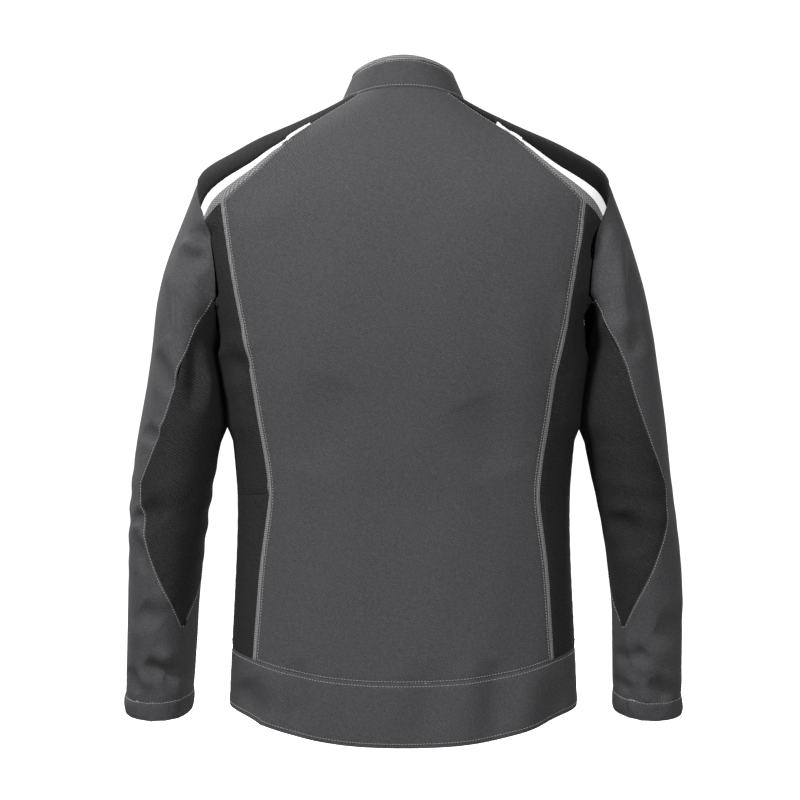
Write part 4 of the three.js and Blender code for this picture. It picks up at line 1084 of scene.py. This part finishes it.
def row_on(name, ring, inset, spacing):
    """Evenly spaced places on a sheet, at the given distance inside one run of its rim."""
    points, normals = ring
    mesh = fine[name]
    tree = BVHTree.FromPolygons([v.co for v in mesh.vertices],
                                [tuple(p.vertices) for p in mesh.polygons])
    lengths = np.concatenate([[0], np.cumsum(np.linalg.norm(np.diff(points, axis=0), axis=1))])
    soft = np.array([np.convolve(np.pad(c, 2, mode="edge"), np.ones(5) / 5, mode="valid")
                     for c in normals.T]).T
    marks = np.arange(spacing / 2, lengths[-1], spacing)
    if len(marks) < 4:
        return np.empty((0, 3)), np.empty((0, 3))
    at = np.stack([np.interp(marks, lengths, c) for c in points.T], axis=1)
    up = np.stack([np.interp(marks, lengths, c) for c in soft.T], axis=1)
    tangent = np.gradient(at, axis=0)
    inward = np.cross(up, tangent)
    inward /= np.linalg.norm(inward, axis=1)[:, None] + 1e-12
    middle = len(at) // 2
    probes = [tree.find_nearest(Vector(at[middle] + sign * inward[middle] * 0.004))[3]
              for sign in (1, -1)]
    if probes[1] < probes[0]:
        inward = -inward
    places, ups = [], []
    for point in at + inward * inset:
        hit, normal, _, distance = tree.find_nearest(Vector(point))
        if distance < 2 * MM:
            places.append(np.array(hit))
            ups.append(np.array(normal))
    return np.array(places), np.array(ups)


STITCH_RINGS = ((-0.5, 0.30, -0.6), (-0.34, 0.9, 0.15), (0.0, 1.0, 0.45),
                (0.34, 0.9, 0.15), (0.5, 0.30, -0.6))
STITCH_SIDES = 6


def stitch_mesh(name, rows):
    """All the stitches of the given rows as one mesh."""
    points, faces = [], []
    for places, ups in rows:
        if len(places) < 3:
            continue
        tangents = np.gradient(places, axis=0)
        steps = np.linalg.norm(tangents, axis=1)
        for place, up, tangent, step in zip(places, ups, tangents, steps):
            if step > 1.7 * STITCH_PITCH or step < 1e-5:
                continue
            tangent = tangent / step
            across = np.cross(up, tangent)
            base = len(points)
            for t, size, lift in STITCH_RINGS:
                centre = place + tangent * t * STITCH_LENGTH + up * lift * THREAD / 2
                for k in range(STITCH_SIDES):
                    turn = 2 * np.pi * k / STITCH_SIDES
                    ring = (across * np.cos(turn) + up * np.sin(turn)) * size * THREAD / 2
                    points.append(centre + ring)
            for r in range(len(STITCH_RINGS) - 1):
                for k in range(STITCH_SIDES):
                    a, b = base + r * STITCH_SIDES + k, base + r * STITCH_SIDES + (k + 1) % STITCH_SIDES
                    faces.append((b, a, a + STITCH_SIDES, b + STITCH_SIDES))
    mesh = bpy.data.meshes.new(name)
    mesh.from_pydata(points, [], faces)
    mesh.polygons.foreach_set("use_smooth", [True] * len(faces))
    return mesh


# Panel, what its edge meets, and the distances of its rows from that edge, in millimetres.
ROWS = [
    ("back_panel", ("princess_band", "shoulder_band"), (2.2,)),
    ("back_panel", ("hem_band_back",), (1.8,)),
    ("back_panel", ("yoke", "shoulder_stripe"), (2.2,)),
    ("hem_band_back", ("back_panel", "side_panel_lower", "princess_band"), (3.5,)),
    ("hem_band_back", (FREE,), (4.5,)),
    ("hem_band_front", ("front_panel", "front_side_panel"), (3.5,)),
    ("hem_band_front", (FREE,), (4.5,)),
    ("side_panel_lower", ("hem_band_back", "hem_band_front"), (7.5,)),
    ("side_panel_upper", ("side_panel_lower",), (1.5, 7.5)),
    ("collar_outer", ("back_panel", "yoke", "front_panel", "shoulder_stripe"), (2.4,)),
    ("collar_outer", ("collar_band",), (2.0,)),
    ("sleeve_cloth", ("elbow_cloth",), (1.8,)),
    ("sleeve_cloth", ("sleeve_cloth",), (1.8,)),
    ("cuff_hem", ("sleeve_cloth",), (1.2,)),
    ("front_panel", ("front_side_panel", "yoke"), (2.2,)),
    ("front_panel", (FREE,), (6.0,)),
    ("front_side_panel", ("hem_band_front",), (1.8,)),
    ("chest_pocket", (FREE,), (2.0, 7.0)),
    ("chest_flap", (FREE,), (2.0, 7.0)),
    ("hip_pocket_welt", (FREE,), (1.8,)),
]
groups = {}
for kind, beside, insets in ROWS:
    for name in [n for n in fine_panels if family(n) == kind]:
        for ring in edge_runs(name, beside):
            for inset in insets:
                row = row_on(name, ring, inset * MM, STITCH_PITCH)
                groups.setdefault(name, []).append(row)
FACES_OF_ONE = STITCH_SIDES * (len(STITCH_RINGS) - 1)
stitch_count = 0
for name, rows in groups.items():
    kind, side = family(name), name.rsplit("_", 1)[-1]
    if kind in SLEEVE_RUNS:
        for part, (first, second, start, end) in bend_lines(side).items():
            shares = []
            for places, ups in rows:
                chosen = in_part(part, places[:, 2])
                shares.append((places[chosen], ups[chosen]))
            mesh = stitch_mesh(f"{name}_{part}", shares)
            piece = show(f"{kind}_stitching_{part}_{side}", mesh, thread, "light_band")
            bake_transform(piece)
            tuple(start)
            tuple(end)
            stitch_count += len(mesh.polygons) // FACES_OF_ONE
        continue
    body = BODY_OF.get(kind, "jacket_body").format(side=side)
    mesh = stitch_mesh(name, rows)
    colour, slot = (thread, "light_band")
    if kind in ("side_panel_upper", "side_panel_lower"):
        colour, slot = (black_thread, "black_twill")
    show(f"{name}_stitching", mesh, colour, slot, (), body)
    stitch_count += len(mesh.polygons) // FACES_OF_ONE
print("stitches sewn:", stitch_count)

# %% [markdown]
# ## Hardware
# The slider, its pull, the stops and the snaps already have their true shape in the frame, so
# they keep it and only get their finish.

# %% Finish of the hardware
for name, node_object in nodes.items():
    if node_object.hide_render:
        continue
    finish = acetal if name.startswith("zip_teeth") else gunmetal
    if name == "hanger_loop":
        finish = neck_ribbon
    node_object.data.materials.clear()
    node_object.data.materials.append(finish)
    print("kept from the frame:", name)
